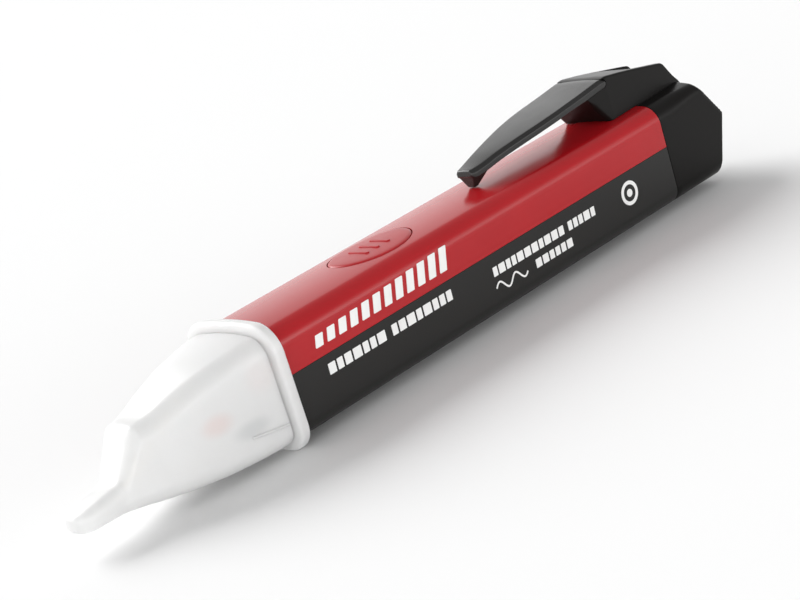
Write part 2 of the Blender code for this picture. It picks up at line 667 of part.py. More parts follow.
front_contact = box("front_contact", (56.65, 56.95), (-3.6, 3.6), (3.9, 11.4), mat_steel, parts)
join(front_contact, box("front_tab", (56.65, 56.95), (-1.2, 1.2), (11.0, BOARD_Z - 0.05)))

return_strip = box("return_strip", (48.6, 130.6), (6.7, 7.0), (6.9, 8.5), mat_steel, parts)
join(return_strip, box("return_riser", (48.6, 50.6), (6.7, 7.0), (7.2, 12.9)))

cap_contact = rod("cap_contact", (152.1, 0, CELL_Z), 4.2, 0.3, "X", mat_steel, parts, sides=32)
join(cap_contact, box("cap_contact_foot", (151.96, 152.24), (3.0, 6.5), (CELL_Z - 0.7, CELL_Z + 0.7)))
join(cap_contact, box("cap_contact_arm", (128.4, 152.23), (6.2, 6.49), (CELL_Z - 0.69, CELL_Z + 0.69)))

mat_spring = material("spring_steel", (0.55, 0.54, 0.52), 0.25, 1.0)
turns, per_turn = 4.5, 14
coil = []
for k in range(int(turns * per_turn) + 1):
    s = k / (turns * per_turn)
    ease = min(1.0, max(0.0, (s - 0.12) / 0.76))
    r = 3.45 - 0.85 * s
    a = 2 * math.pi * turns * s
    coil.append((151.6 - 4.8 * ease, r * math.cos(a), CELL_Z + r * math.sin(a)))
spring = wire("cap_spring", coil, 0.3, mat_spring)

# ---------------------------------------------------------------- cells
mat_can = material("cell_steel", (0.66, 0.65, 0.62), 0.3, 1.0)
mat_sleeve = material("cell_sleeve", (0.05, 0.12, 0.3), 0.35)
cells = {}
for tag, x0 in (("front", CELL_1_X), ("rear", CELL_2_X)):
    end = CELL_L
    # heights run from the nub (0) to the flat end, drawn downwards from the nub
    can = turned("cell_%s_can" % tag,
                 [(0, -1.35), (4.4, -1.35), (5.05, -1.75), (5.05, -end + 0.4), (4.6, -end), (0, -end)],
                 (x0, 0, CELL_Z), "-X", mat_can, parts, steps=32)
    nub = turned("cell_%s_nub" % tag,
                 [(0, 0.0), (1.7, 0.0), (1.9, -0.25), (1.9, -1.0), (2.9, -1.05), (2.9, -1.31), (0, -1.31)],
                 (x0, 0, CELL_Z), "-X", mat_can, parts, steps=24)
    sleeve = turned("cell_%s_sleeve" % tag,
                    [(5.09, -2.0), (CELL_R, -2.1), (CELL_R, -end + 0.6), (5.09, -end + 0.7)],
                    (x0, 0, CELL_Z), "-X", mat_sleeve, parts, steps=32)
    cells[tag] = (can, nub, sleeve)

# close the sleeves' inner walls: the profile's ends are joined before the turn
for tag in cells:
    sleeve = cells[tag][2]
    bm = bmesh.new()
    bm.from_mesh(sleeve.data)
    bm.verts.ensure_lookup_table()
    bm.edges.new((bm.verts[len(bm.verts) - 1], bm.verts[0]))
    bm.to_mesh(sleeve.data)
    bm.free()

# ---------------------------------------------------------------- joint axes
joint_empty("cap_axis", X_SEAM, 0, CELL_Z, cap, cap_contact, spring)
joint_empty("clip_axis", CLIP_ROOT_X, 0, CLIP_ROOT_Z, clip)
joint_empty("button_axis", PAD_X, 0, 18.0, pad)
joint_empty("cell_front_axis", CELL_1_X + CELL_L / 2, 0, CELL_Z, *cells["front"])
joint_empty("cell_rear_axis", CELL_2_X + CELL_L / 2, 0, CELL_Z, *cells["rear"])
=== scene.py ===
"""Looks of the pen-shaped non-contact voltage tester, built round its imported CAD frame."""
import math
import random

import bmesh
import bpy
import numpy as np
from mathutils import Matrix, Vector

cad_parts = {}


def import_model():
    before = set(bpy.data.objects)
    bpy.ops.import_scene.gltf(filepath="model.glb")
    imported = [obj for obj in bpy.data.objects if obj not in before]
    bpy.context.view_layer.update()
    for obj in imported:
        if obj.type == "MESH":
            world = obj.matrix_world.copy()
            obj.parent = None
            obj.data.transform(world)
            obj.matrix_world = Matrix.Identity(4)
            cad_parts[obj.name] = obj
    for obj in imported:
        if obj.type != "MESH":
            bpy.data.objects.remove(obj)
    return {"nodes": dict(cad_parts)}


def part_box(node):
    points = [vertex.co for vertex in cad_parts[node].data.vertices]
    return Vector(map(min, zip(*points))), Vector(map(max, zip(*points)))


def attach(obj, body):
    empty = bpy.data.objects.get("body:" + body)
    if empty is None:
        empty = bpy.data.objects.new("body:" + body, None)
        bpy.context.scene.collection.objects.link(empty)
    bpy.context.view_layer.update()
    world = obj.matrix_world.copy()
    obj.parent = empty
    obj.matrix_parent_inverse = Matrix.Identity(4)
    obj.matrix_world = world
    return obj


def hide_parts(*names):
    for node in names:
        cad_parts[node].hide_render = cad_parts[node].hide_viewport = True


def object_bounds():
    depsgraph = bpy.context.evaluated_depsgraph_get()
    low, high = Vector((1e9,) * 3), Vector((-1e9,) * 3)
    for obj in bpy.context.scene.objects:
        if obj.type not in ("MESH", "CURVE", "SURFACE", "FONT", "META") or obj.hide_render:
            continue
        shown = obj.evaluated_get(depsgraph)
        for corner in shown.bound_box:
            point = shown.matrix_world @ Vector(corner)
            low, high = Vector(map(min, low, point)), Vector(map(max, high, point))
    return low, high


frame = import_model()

CAD_BOX = [list(v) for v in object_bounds()]

# ------------------------------------------------------------------ sizes in millimetres of the drawing
# x runs from the nose to the tail, y across, z up from the handle's underside
MM = 0.001
X_TIP = -0.6
COLLAR_OUT = 1.52                         # the collar stands this proud of the handle
X_MID = X_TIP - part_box("nose_cone")[0].x / MM
Z_UNDER = -CAD_BOX[0][2] / MM + COLLAR_OUT

RUN_STEPS, RUN_TOP_STEPS = 14, 10         # mesh steps of the half shells' corners and half tops
TOP_STEPS = 8                             # mesh steps of other outlines' half tops
HALF_BOT, HALF_TOP = 9.74, 10.39          # the handle's half widths, at the bottom and at the top
SIDE_H, CROWN = 18.89, 1.0                # height of its sides, and rise of the top's middle
R_BOT, R_TOP = 3.06, 2.92                 # its corner radii
Z_PART = 11.12                            # parting plane of the two shells
WALL = 1.6
X_COLLAR_F, X_COLLAR_R = 38.05, 40.05     # the collar's front and rear faces
X_SPIGOT = 33.6                           # front end of the shells' spigot
X_SEAM, SEAM = 139.43, 0.07               # seam before the tail cap, and the width of a seam
NOSE_WALL = 1.4
PAD_X, PAD_A, PAD_B, PAD_PROUD = 72.2, 8.5, 6.2, 0.2     # centre, half axes, height over the top
PAD_EASE, HOLE_EASE = 0.1, 0.27           # the pad and its hole are this much over the nominal oval
CLIP_TIP_X, CLIP_T = 97.8, 1.64           # the leaf's tip and thickness
CLIP_ROOT_X, CLIP_ROOT_Z = 132.1, 26.86   # the axis that the clip flexes about
BLOCK_FRONT, BLOCK_REAR = 6.0, 5.05       # the clip block's half widths
X_END, APEX_Z = 158.5, 11.35              # the ridge between the two end faces
APEX_BOW, APEX_HALF = 1.3, 9.7            # the ridge curves forward by the bow at this half width
SLOPE_UP, SLOPE_DOWN = 1.42, 2.6          # the end faces above and below it, rise over run
RIDGE_SOFT, CAP_SOFT = 0.24, 0.8          # rounding of the ridge and of the end faces' edges
CELL_R, CELL_Z, CELL_L = 5.25, 7.7, 44.5
CELL_X = {"front": 57.2, "rear": 101.8}   # the positive ends
FILM_LAP = 0.05                           # the sleeve's stripes are counted from here on each cell
LED_Z = 7.6
FLOOR_GAP = 0.00002                       # metres between the underside and the floor


def world(x, y, z):
    """Scene coordinates, in metres, of a point of the drawing."""
    return Vector(((x - X_MID) * MM, y * MM, (z + Z_UNDER) * MM))


# ------------------------------------------------------------------ outlines in (y, z)
def arc(a, b, c, r, n):
    """Arc that rounds corner b between a and c."""
    a, b, c = Vector(a), Vector(b), Vector(c)
    d1, d2 = (a - b).normalized(), (c - b).normalized()
    half = d1.angle(d2) / 2
    centre = b + (d1 + d2).normalized() * (r / math.sin(half))
    p = b + d1 * (r / math.tan(half)) - centre
    q = b + d2 * (r / math.tan(half)) - centre
    turn = p.angle_signed(q)
    return [centre + Matrix.Rotation(-turn * k / n, 2) @ p for k in range(n + 1)]


def crowned(points, b1, z1, rt, crown):
    """Lifts the points of the top face to its crown."""
    for p in points:
        if p.y > z1 - rt - 1e-6:
            p.y += crown * (1 - min(1.0, (p.x / b1) ** 2))
    return points


def section(b0, b1, z0, z1, rb, rt, crown, n=12):
    """Closed outline: tapered sides, rounded corners of n steps, crowned top."""
    side = [Vector((0.0, z0)), Vector((-(b0 - rb) * 0.5, z0))]
    side += arc((0, z0), (-b0, z0), (-b1, z1), rb, n)
    low, high = side[-1].copy(), arc((-b0, z0), (-b1, z1), (0, z1), rt, n)
    for k in range(1, 4):
        side.append(low.lerp(high[0], k / 4))
    side += high
    edge = -side[-1].x
    side += [Vector((-edge * (1 - k / TOP_STEPS), z1)) for k in range(1, TOP_STEPS + 1)]
    crowned(side, b1, z1, rt, crown)
    return side + [Vector((-p.x, p.y)) for p in side[-2:0:-1]]


def corner(offset, base):
    """Corner radius of the handle's outline at an offset; deep inside it shrinks more slowly."""
    return max(0.5, base + offset) if offset > -2.0 else 4.6 + 0.8 * offset


def handle(offset):
    """The handle's closed outline, offset outwards."""
    return section(HALF_BOT + offset, HALF_TOP + offset, -offset, SIDE_H + offset,
                   corner(offset, R_BOT), corner(offset, R_TOP), CROWN)


def side_at(offset, z):
    """Half width of the handle's outline at height z."""
    return HALF_BOT + (HALF_TOP - HALF_BOT) * z / SIDE_H + offset


def upper_run(offset, z, top=R_TOP):
    """Open run above the plane z, from the -Y side over the top."""
    b0, b1, z1, r = HALF_BOT + offset, HALF_TOP + offset, SIDE_H + offset, corner(offset, top)
    run = arc((-b0, -offset), (-b1, z1), (0, z1), r, RUN_STEPS)
    edge = -run[-1].x
    run += [Vector((-edge * (1 - k / RUN_TOP_STEPS), z1)) for k in range(1, RUN_TOP_STEPS + 1)]
    crowned(run, b1, z1, r, CROWN)
    foot = Vector((-side_at(offset, z), z))
    run = [foot, foot.lerp(run[0], 0.5)] + run
    return run + [Vector((-p.x, p.y)) for p in run[-2::-1]]


def lower_run(offset, z):
    """Open run below the plane z, from the -Y side under the bottom."""
    b0, b1, r = HALF_BOT + offset, HALF_TOP + offset, corner(offset, R_BOT)
    run = arc((-b1, SIDE_H + offset), (-b0, -offset), (0, -offset), r, RUN_STEPS)
    foot = Vector((-side_at(offset, z), z))
    run = [foot, foot.lerp(run[0], 0.5)] + run + [Vector((0.0, -offset))]
    return run + [Vector((-p.x, p.y)) for p in run[-2::-1]]


def ellipse(cx, cy, a, b):
    """Closed oval with half axes a and b."""
    n = 96
    return [Vector((cx + a * math.cos(2 * math.pi * k / n), cy + b * math.sin(2 * math.pi * k / n)))
            for k in range(n)]


# ------------------------------------------------------------------ mesh builders
def to_object(name, bm, angle=30):
    """Puts a finished mesh in the scene, smooth but for edges sharper than the angle."""
    bmesh.ops.recalc_face_normals(bm, faces=bm.faces)
    mesh = bpy.data.meshes.new(name)
    bm.to_mesh(mesh)
    bm.free()
    mesh.shade_smooth()
    mesh.set_sharp_from_angle(angle=math.radians(angle))
    obj = bpy.data.objects.new(name, mesh)
    bpy.context.scene.collection.objects.link(obj)
    return obj


def skin(name, rings, closed=False, angle=30):
    """Solid through rings of 3D points with equal counts, capped at both ends unless closed."""
    bm = bmesh.new()
    rows = [[bm.verts.new(p) for p in ring] for ring in rings]
    count = len(rows[0])
    pairs = list(zip(rows, rows[1:])) + ([(rows[-1], rows[0])] if closed else [])
    for r0, r1 in pairs:
        for k in range(count):
            bm.faces.new((r0[k], r0[(k + 1) % count], r1[(k + 1) % count], r1[k]))
    if not closed:
        bm.faces.new(rows[0][::-1])
        bm.faces.new(rows[-1])
    return to_object(name, bm, angle)


def loft(name, stations, angle=30):
    """Solid through (x, outline in y and z) stations."""
    return skin(name, [[world(x, p[0], p[1]) for p in ring] for x, ring in stations], angle=angle)


def prism(name, outline, lo, hi, axis):
    """Straight solid along X or Z, from an outline in the other two coordinates."""
    point = {"X": lambda p, t: world(t, p[0], p[1]), "Z": lambda p, t: world(p[0], p[1], t)}[axis]
    return skin(name, [[point(p, t) for p in outline] for t in (lo, hi)])


def box(name, x, y, z):
    return prism(name, [(x[0], y[0]), (x[1], y[0]), (x[1], y[1]), (x[0], y[1])], z[0], z[1], "Z")


def turned(name, profile, centre, steps=64):
    """Solid of revolution about X through (distance along X, radius) points."""
    x, y, z = centre
    rings = []
    for t, r in profile:
        ring = []
        for k in range(steps):
            a = 2 * math.pi * k / steps
            u, v = max(r, 1e-4) * math.cos(a), max(r, 1e-4) * math.sin(a)
            ring.append(world(x + t, y + u, z + v))
        rings.append(ring)
    return skin(name, rings)


def bevel(obj, width, segments, angle):
    mod = obj.modifiers.new("edges", "BEVEL")
    mod.width = width * MM
    mod.segments = segments
    mod.limit_method = "ANGLE"
    mod.angle_limit = math.radians(angle)
    mod.miter_outer = "MITER_ARC"


def carve(obj, operation, *others):
    """Adds one boolean for each of the others."""
    for other in others:
        mod = obj.modifiers.new(operation.lower(), "BOOLEAN")
        mod.operation = operation
        mod.solver = "EXACT"
        mod.object = other


def bake(obj, *spent, angle=30, weighted=True):
    """Applies the modifiers, removes the spent cutters and evens out the normals."""
    bpy.context.view_layer.update()
    depsgraph = bpy.context.evaluated_depsgraph_get()
    mesh = bpy.data.meshes.new_from_object(obj.evaluated_get(depsgraph))
    obj.modifiers.clear()
    obj.data = mesh
    for other in spent:
        bpy.data.objects.remove(other, do_unlink=True)
    bm = bmesh.new()
    bm.from_mesh(mesh)
    bmesh.ops.remove_doubles(bm, verts=bm.verts, dist=2e-7)
    bmesh.ops.dissolve_degenerate(bm, edges=bm.edges, dist=1e-7)
    bm.to_mesh(mesh)
    bm.free()
    mesh.shade_smooth()
    mesh.set_sharp_from_angle(angle=math.radians(angle))
    if weighted:
        mod = obj.modifiers.new("normals", "WEIGHTED_NORMAL")
        mod.keep_sharp = True
        mod.weight = 50


def tube(name, points, radius, resolution=5):
    """Round wire along the points."""
    curve = bpy.data.curves.new(name, "CURVE")
    curve.dimensions = "3D"
    curve.bevel_depth = radius * MM
    curve.bevel_resolution = resolution
    curve.use_fill_caps = True
    spline = curve.splines.new("POLY")
    spline.points.add(len(points) - 1)
    for point, p in zip(spline.points, points):
        point.co = (*world(*p), 1.0)
    obj = bpy.data.objects.new(name, curve)
    bpy.context.scene.collection.objects.link(obj)
    return obj


def monotone(xs, ys, x):
    """Smooth interpolation that doesn't overshoot (monotone cubic)."""
    xs, ys = np.asarray(xs, float), np.asarray(ys, float)
    h = np.diff(xs)
    d = np.diff(ys) / h
    m = np.zeros(len(xs))
    m[0], m[-1] = d[0], d[-1]
    for k in range(1, len(xs) - 1):
        if d[k - 1] * d[k] > 0:
            w1, w2 = 2 * h[k] + h[k - 1], h[k] + 2 * h[k - 1]
            m[k] = (w1 + w2) / (w1 / d[k - 1] + w2 / d[k])
    k = int(np.clip(np.searchsorted(xs, x) - 1, 0, len(h) - 1))
    t = (x - xs[k]) / h[k]
    return ((2 * t ** 3 - 3 * t ** 2 + 1) * ys[k] + (t ** 3 - 2 * t ** 2 + t) * h[k] * m[k]
            + (3 * t ** 2 - 2 * t ** 3) * ys[k + 1] + (t ** 3 - t ** 2) * h[k] * m[k + 1])


# ------------------------------------------------------------------ materials
def new_material(name):
    mat = bpy.data.materials.new(name)
    mat.use_nodes = True
    nodes = mat.node_tree.nodes
    return mat, nodes, mat.node_tree.links, nodes["Principled BSDF"]


def noise(nodes, links, coords, scale, detail=2.0, rough=0.5):
    """Noise factor; the scale is in cells per metre."""
    node = nodes.new("ShaderNodeTexNoise")
    node.inputs["Scale"].default_value = scale
    node.inputs["Detail"].default_value = detail
    node.inputs["Roughness"].default_value = rough
    links.new(coords, node.inputs["Vector"])
    return node.outputs["Fac"]


def map_range(nodes, links, source, from_min, from_max, to_min, to_max, kind="LINEAR"):
    node = nodes.new("ShaderNodeMapRange")
    node.interpolation_type = kind
    for key, value in (("From Min", from_min), ("From Max", from_max),
                       ("To Min", to_min), ("To Max", to_max)):
        node.inputs[key].default_value = value
    links.new(source, node.inputs["Value"])
    return node.outputs["Result"]


def spread(nodes, links, fac, low, high):
    """A noise's middle range, stretched from low to high."""
    return map_range(nodes, links, fac, 0.3, 0.7, low, high)


def blend_colour(nodes, links, fac, a, b):
    """Mix of a, a colour or a socket, and the colour b."""
    node = nodes.new("ShaderNodeMix")
    node.data_type = "RGBA"
    if isinstance(a, tuple):
        node.inputs["A"].default_value = (*a, 1.0)
    else:
        links.new(a, node.inputs["A"])
    node.inputs["B"].default_value = (*b, 1.0)
    links.new(fac, node.inputs["Factor"])
    return node.outputs["Result"]


def bump(nodes, links, height, strength, distance, normal=None):
    """Normal raised by a height factor; the distance is in mm."""
    node = nodes.new("ShaderNodeBump")
    node.inputs["Strength"].default_value = strength
    node.inputs["Distance"].default_value = distance * MM
    links.new(height, node.inputs["Height"])
    if normal is not None:
        links.new(normal, node.inputs["Normal"])
    return node.outputs["Normal"]


def shade(colour, k):
    return tuple(min(1.0, c * k) for c in colour)


def moulded(name, colour, rough, grain=0.03, grain_scale=3200, spec=0.5):
    """Moulded plastic: fine grain, faint flow waves, uneven gloss and a slight colour drift."""
    mat, nodes, links, bsdf = new_material(name)
    coords = nodes.new("ShaderNodeTexCoord").outputs["Object"]
    fine = noise(nodes, links, coords, grain_scale, 3.0, 0.6)
    broad = noise(nodes, links, coords, 90, 2.0)
    patch = noise(nodes, links, coords, 420, 2.0)
    links.new(blend_colour(nodes, links, broad, shade(colour, 0.93), shade(colour, 1.07)),
              bsdf.inputs["Base Color"])
    links.new(spread(nodes, links, patch, rough - 0.015, rough + 0.02), bsdf.inputs["Roughness"])
    first = bump(nodes, links, broad, 0.35, 0.006)
    links.new(bump(nodes, links, fine, 0.5, grain, first), bsdf.inputs["Normal"])
    bsdf.inputs["Specular IOR Level"].default_value = spec
    return mat


def metal(name, colour, rough, brush=(1.0, 1.0, 1.0)):
    """Bare metal: fine grain drawn out along the brushed direction, uneven gloss, slight tarnish."""
    mat, nodes, links, bsdf = new_material(name)
    coords = nodes.new("ShaderNodeTexCoord").outputs["Object"]
    mapping = nodes.new("ShaderNodeMapping")
    mapping.inputs["Scale"].default_value = brush
    links.new(coords, mapping.inputs["Vector"])
    grain = noise(nodes, links, mapping.outputs["Vector"], 1500, 3.0)
    broad = noise(nodes, links, coords, 160, 2.0)
    links.new(blend_colour(nodes, links, broad, shade(colour, 0.9), shade(colour, 1.05)),
              bsdf.inputs["Base Color"])
    links.new(spread(nodes, links, grain, rough - 0.06, rough + 0.08), bsdf.inputs["Roughness"])
    links.new(bump(nodes, links, grain, 0.4, 0.004), bsdf.inputs["Normal"])
    bsdf.inputs["Metallic"].default_value = 1.0
    return mat


def near_point(nodes, links, coords, centre, radii, strength):
    """Soft factor that falls from strength at a point to nothing at the radii, in mm."""
    vector = coords
    for operation, value in (("SUBTRACT", world(*centre)), ("MULTIPLY", [1.0 / (r * MM) for r in radii])):
        node = nodes.new("ShaderNodeVectorMath")
        node.operation = operation
        node.inputs[1].default_value = value
        links.new(vector, node.inputs[0])
        vector = node.outputs["Vector"]
    length = nodes.new("ShaderNodeVectorMath")
    length.operation = "LENGTH"
    links.new(vector, length.inputs[0])
    return map_range(nodes, links, length.outputs["Value"], 0.25, 1.0, strength, 0.0, "SMOOTHSTEP")


def frosted(name, colour, rough, transmission, subsurface, painted_show_through=()):
    """Translucent plastic with a fine etched surface.

    The painted show-through marks are soft painted tints and painted shade in the base colour, where the
    pieces behind the wall would show through it.
    """
    mat, nodes, links, bsdf = new_material(name)
    coords = nodes.new("ShaderNodeTexCoord").outputs["Object"]
    fine = noise(nodes, links, coords, 2600, 3.0, 0.6)
    broad = noise(nodes, links, coords, 120, 2.0)
    tint = blend_colour(nodes, links, broad, shade(colour, 0.975), colour)
    # painted show-through: soft painted tints and painted shade of the pieces behind the wall, blended into
    # the base colour
    for centre, radii, strength, painted_tint in painted_show_through:
        fall = near_point(nodes, links, coords, centre, radii, strength)
        tint = blend_colour(nodes, links, fall, tint, painted_tint)
    links.new(tint, bsdf.inputs["Base Color"])
    links.new(spread(nodes, links, broad, rough - 0.03, rough + 0.05), bsdf.inputs["Roughness"])
    first = bump(nodes, links, broad, 0.4, 0.02)
    links.new(bump(nodes, links, fine, 0.4, 0.01, first), bsdf.inputs["Normal"])
    bsdf.inputs["Transmission Weight"].default_value = transmission
    bsdf.inputs["IOR"].default_value = 1.46
    bsdf.inputs["Subsurface Weight"].default_value = subsurface
    bsdf.inputs["Subsurface Radius"].default_value = (1.0, 1.0, 1.0)
    bsdf.inputs["Subsurface Scale"].default_value = MM
    return mat


# Painted show-through on the nose: soft painted tints and painted shade where the pieces behind the frosted
# wall would show; centre and radii in mm, strength, colour
NOSE_PAINTED_SHOW_THROUGH = (
    ((25.6, 0, 9.6), (3.9, 60, 2.6), 0.7, (0.9, 0.79, 0.77)),        # the lamp
    ((31.0, 0, 6.4), (4.8, 60, 2.1), 0.85, (0.77, 0.78, 0.78)),      # the black spigot
    ((35.2, 0, 13.6), (4.2, 60, 4.0), 0.5, (0.93, 0.87, 0.86)),      # the red spigot
    ((20.0, 0, 12.6), (3.6, 60, 1.8), 0.4, (0.89, 0.905, 0.9)),      # the board's end
)
mat_red = moulded("red_abs", (0.395, 0.007, 0.0112), 0.2, grain=0.004, grain_scale=2600, spec=0.4)
mat_black = moulded("black_abs", (0.0125, 0.0118, 0.011), 0.38, spec=0.35)
# the tail cap's black is the handle's black ABS made darker: the extra darkness is painted shade
mat_cap_painted_shade = moulded("black_abs_cap", (0.0065, 0.0058, 0.0054), 0.31, grain=0.012, spec=0.14)
mat_clip = moulded("black_abs_clip", (0.014, 0.0135, 0.013), 0.25, grain=0.008, spec=0.45)
mat_pad = moulded("red_abs_pad", (0.38, 0.007, 0.0115), 0.32, grain=0.016, grain_scale=2200, spec=0.35)
mat_nose = frosted("frosted_polycarbonate", (0.93, 0.93, 0.925), 0.34, 0.34, 1.0, NOSE_PAINTED_SHOW_THROUGH)
mat_print = moulded("white_print_ink", (0.82, 0.82, 0.81), 0.5, grain=0.01)
mat_nickel = metal("nickel_plate", (0.66, 0.64, 0.6), 0.26, (0.2, 1.0, 1.0))
mat_tin = metal("tinned_wire", (0.72, 0.71, 0.69), 0.3)
mat_brass = metal("sensor_brass", (0.76, 0.55, 0.25), 0.3, (0.15, 1.0, 1.0))
mat_wire = metal("spring_wire", (0.6, 0.59, 0.57), 0.24)
mat_can = metal("cell_steel", (0.68, 0.67, 0.65), 0.28, (1.0, 0.3, 0.3))
mat_tray = moulded("tray_abs", (0.55, 0.55, 0.53), 0.5)
mat_housing = moulded("black_nylon", (0.02, 0.02, 0.02), 0.5)
mat_chip = moulded("chip_epoxy", (0.012, 0.012, 0.013), 0.42, grain=0.02, grain_scale=5200)
mat_resistor = moulded("resistor_glaze", (0.02, 0.02, 0.024), 0.3, grain=0.01)
mat_capacitor = moulded("capacitor_ceramic", (0.42, 0.27, 0.15), 0.5, grain=0.02)
mat_plunger = moulded("plunger_nylon", (0.5, 0.08, 0.04), 0.45, grain=0.02)
mat_led = frosted("red_led_epoxy", (0.75, 0.03, 0.03), 0.12, 0.55, 0.2)


def board_material():
    """Green solder mask with a fine grid of paler tracks showing through."""
    mat, nodes, links, bsdf = new_material("solder_mask_green")
    coords = nodes.new("ShaderNodeTexCoord").outputs["Object"]
    tracks = nodes.new("ShaderNodeTexBrick")
    tracks.inputs["Scale"].default_value = 260
    tracks.inputs["Mortar Size"].default_value = 0.035
    tracks.inputs["Color1"].default_value = (0.02, 0.13, 0.055, 1)
    tracks.inputs["Color2"].default_value = (0.025, 0.15, 0.062, 1)
    tracks.inputs["Mortar"].default_value = (0.05, 0.24, 0.1, 1)
    links.new(coords, tracks.inputs["Vector"])
    links.new(tracks.outputs["Color"], bsdf.inputs["Base Color"])
    grain = noise(nodes, links, coords, 1800, 2.0)
    links.new(spread(nodes, links, grain, 0.28, 0.42), bsdf.inputs["Roughness"])
    links.new(bump(nodes, links, tracks.outputs["Fac"], 0.3, 0.02), bsdf.inputs["Normal"])
    return mat


def sleeve_material():
    """Cell sleeve: plain blue film with pale rings, no lettering."""
    blue, pale = (0.045, 0.11, 0.27, 1), (0.55, 0.56, 0.57, 1)
    mat, nodes, links, bsdf = new_material("cell_film")
    coords = nodes.new("ShaderNodeTexCoord").outputs["Object"]
    split = nodes.new("ShaderNodeSeparateXYZ")
    links.new(coords, split.inputs["Vector"])
    tone = nodes.new("ShaderNodeValToRGB")
    ramp = tone.color_ramp
    ramp.interpolation = "CONSTANT"
    ramp.elements[0].position, ramp.elements[0].color = 0.0, pale
    ramp.elements[1].position, ramp.elements[1].color = 0.16, blue
    for position, colour in ((0.2, pale), (0.22, blue), (0.86, pale), (0.88, blue)):
        ramp.elements.new(position).color = colour
    # both cells share the stripes: X wraps at the front cell's length
    start = (CELL_X["front"] + FILM_LAP - X_MID) * MM
    end = (CELL_X["front"] + CELL_L + FILM_LAP - X_MID) * MM
    wrap = nodes.new("ShaderNodeMath")
    wrap.operation = "WRAP"
    wrap.inputs[1].default_value = end
    wrap.inputs[2].default_value = start
    links.new(split.outputs["X"], wrap.inputs[0])
    links.new(map_range(nodes, links, wrap.outputs[0], start, end, 0.0, 1.0), tone.inputs["Fac"])
    links.new(tone.outputs["Color"], bsdf.inputs["Base Color"])
    grain = noise(nodes, links, coords, 900, 2.0)
    links.new(spread(nodes, links, grain, 0.24, 0.34), bsdf.inputs["Roughness"])
    links.new(bump(nodes, links, grain, 0.3, 0.006), bsdf.inputs["Normal"])
    return mat


def place(obj, material, body, slot, *nodes):
    """Gives a piece its material and body and hides the CAD nodes it stands for; the slot is not used."""
    obj.data.materials.clear()
    obj.data.materials.append(material)
    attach(obj, body)
    if nodes:
        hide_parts(*nodes)


# ------------------------------------------------------------------ probe nose
NOSE = np.array([
    # x, half width low, half width high, bottom z, top z, crown
    (-0.6, 1.1, 1.0, 3.9, 5.8, 0.0),
    (-0.35, 1.9, 1.8, 3.55, 6.15, 0.0),
    (0.3, 2.75, 2.6, 3.3, 6.5, 0.0),
    (1.4, 3.35, 3.2, 3.15, 6.75, 0.0),
    (2.9, 3.65, 3.5, 3.08, 7.0, 0.0),
    (5.2, 3.75, 3.6, 3.0, 7.35, 0.0),
    (7.6, 3.85, 3.7, 2.85, 7.75, 0.0),
    (8.6, 4.1, 3.9, 2.72, 8.3, 0.0),
    (9.6, 4.45, 4.2, 2.57, 9.6, 0.05),
    (10.7, 4.85, 4.4, 2.4, 11.1, 0.1),
    (11.8, 5.2, 4.6, 2.22, 12.6, 0.1),
    (12.7, 5.5, 4.75, 2.05, 14.0, 0.15),
    (13.6, 5.8, 4.95, 1.85, 14.95, 0.2),
    (15.0, 6.2, 5.25, 1.6, 15.05, 0.25),
    (16.4, 6.6, 5.6, 1.4, 15.25, 0.3),
    (21.5, 7.85, 6.8, 0.75, 16.6, 0.5),
    (28.0, 8.8, 8.4, 0.2, 18.0, 0.7),
    (33.0, 9.35, 9.4, 0.02, 18.6, 0.9),
    (36.4, 9.6, 10.1, 0.0, 18.85, 1.0),
    (39.2, 9.6, 10.2, 0.0, 18.85, 1.0),
])


def nose_at(x, *columns):
    """Columns of the nose's table at station x."""
    return [monotone(NOSE[:, 0], NOSE[:, c], x) for c in columns]


def nose_ring(x, inset):
    """The nose's outline at station x, offset inwards."""
    b0, b1, z0, z1, crown = nose_at(x, 1, 2, 3, 4, 5)
    b0, b1, z0, z1 = b0 - inset, b1 - inset, z0 + inset, z1 - inset
    r = max(min(R_BOT, (z1 - z0) * 0.42, b1 * 0.6) - inset * 0.35, 0.2)
    return section(b0, b1, z0, z1, r, r, crown)


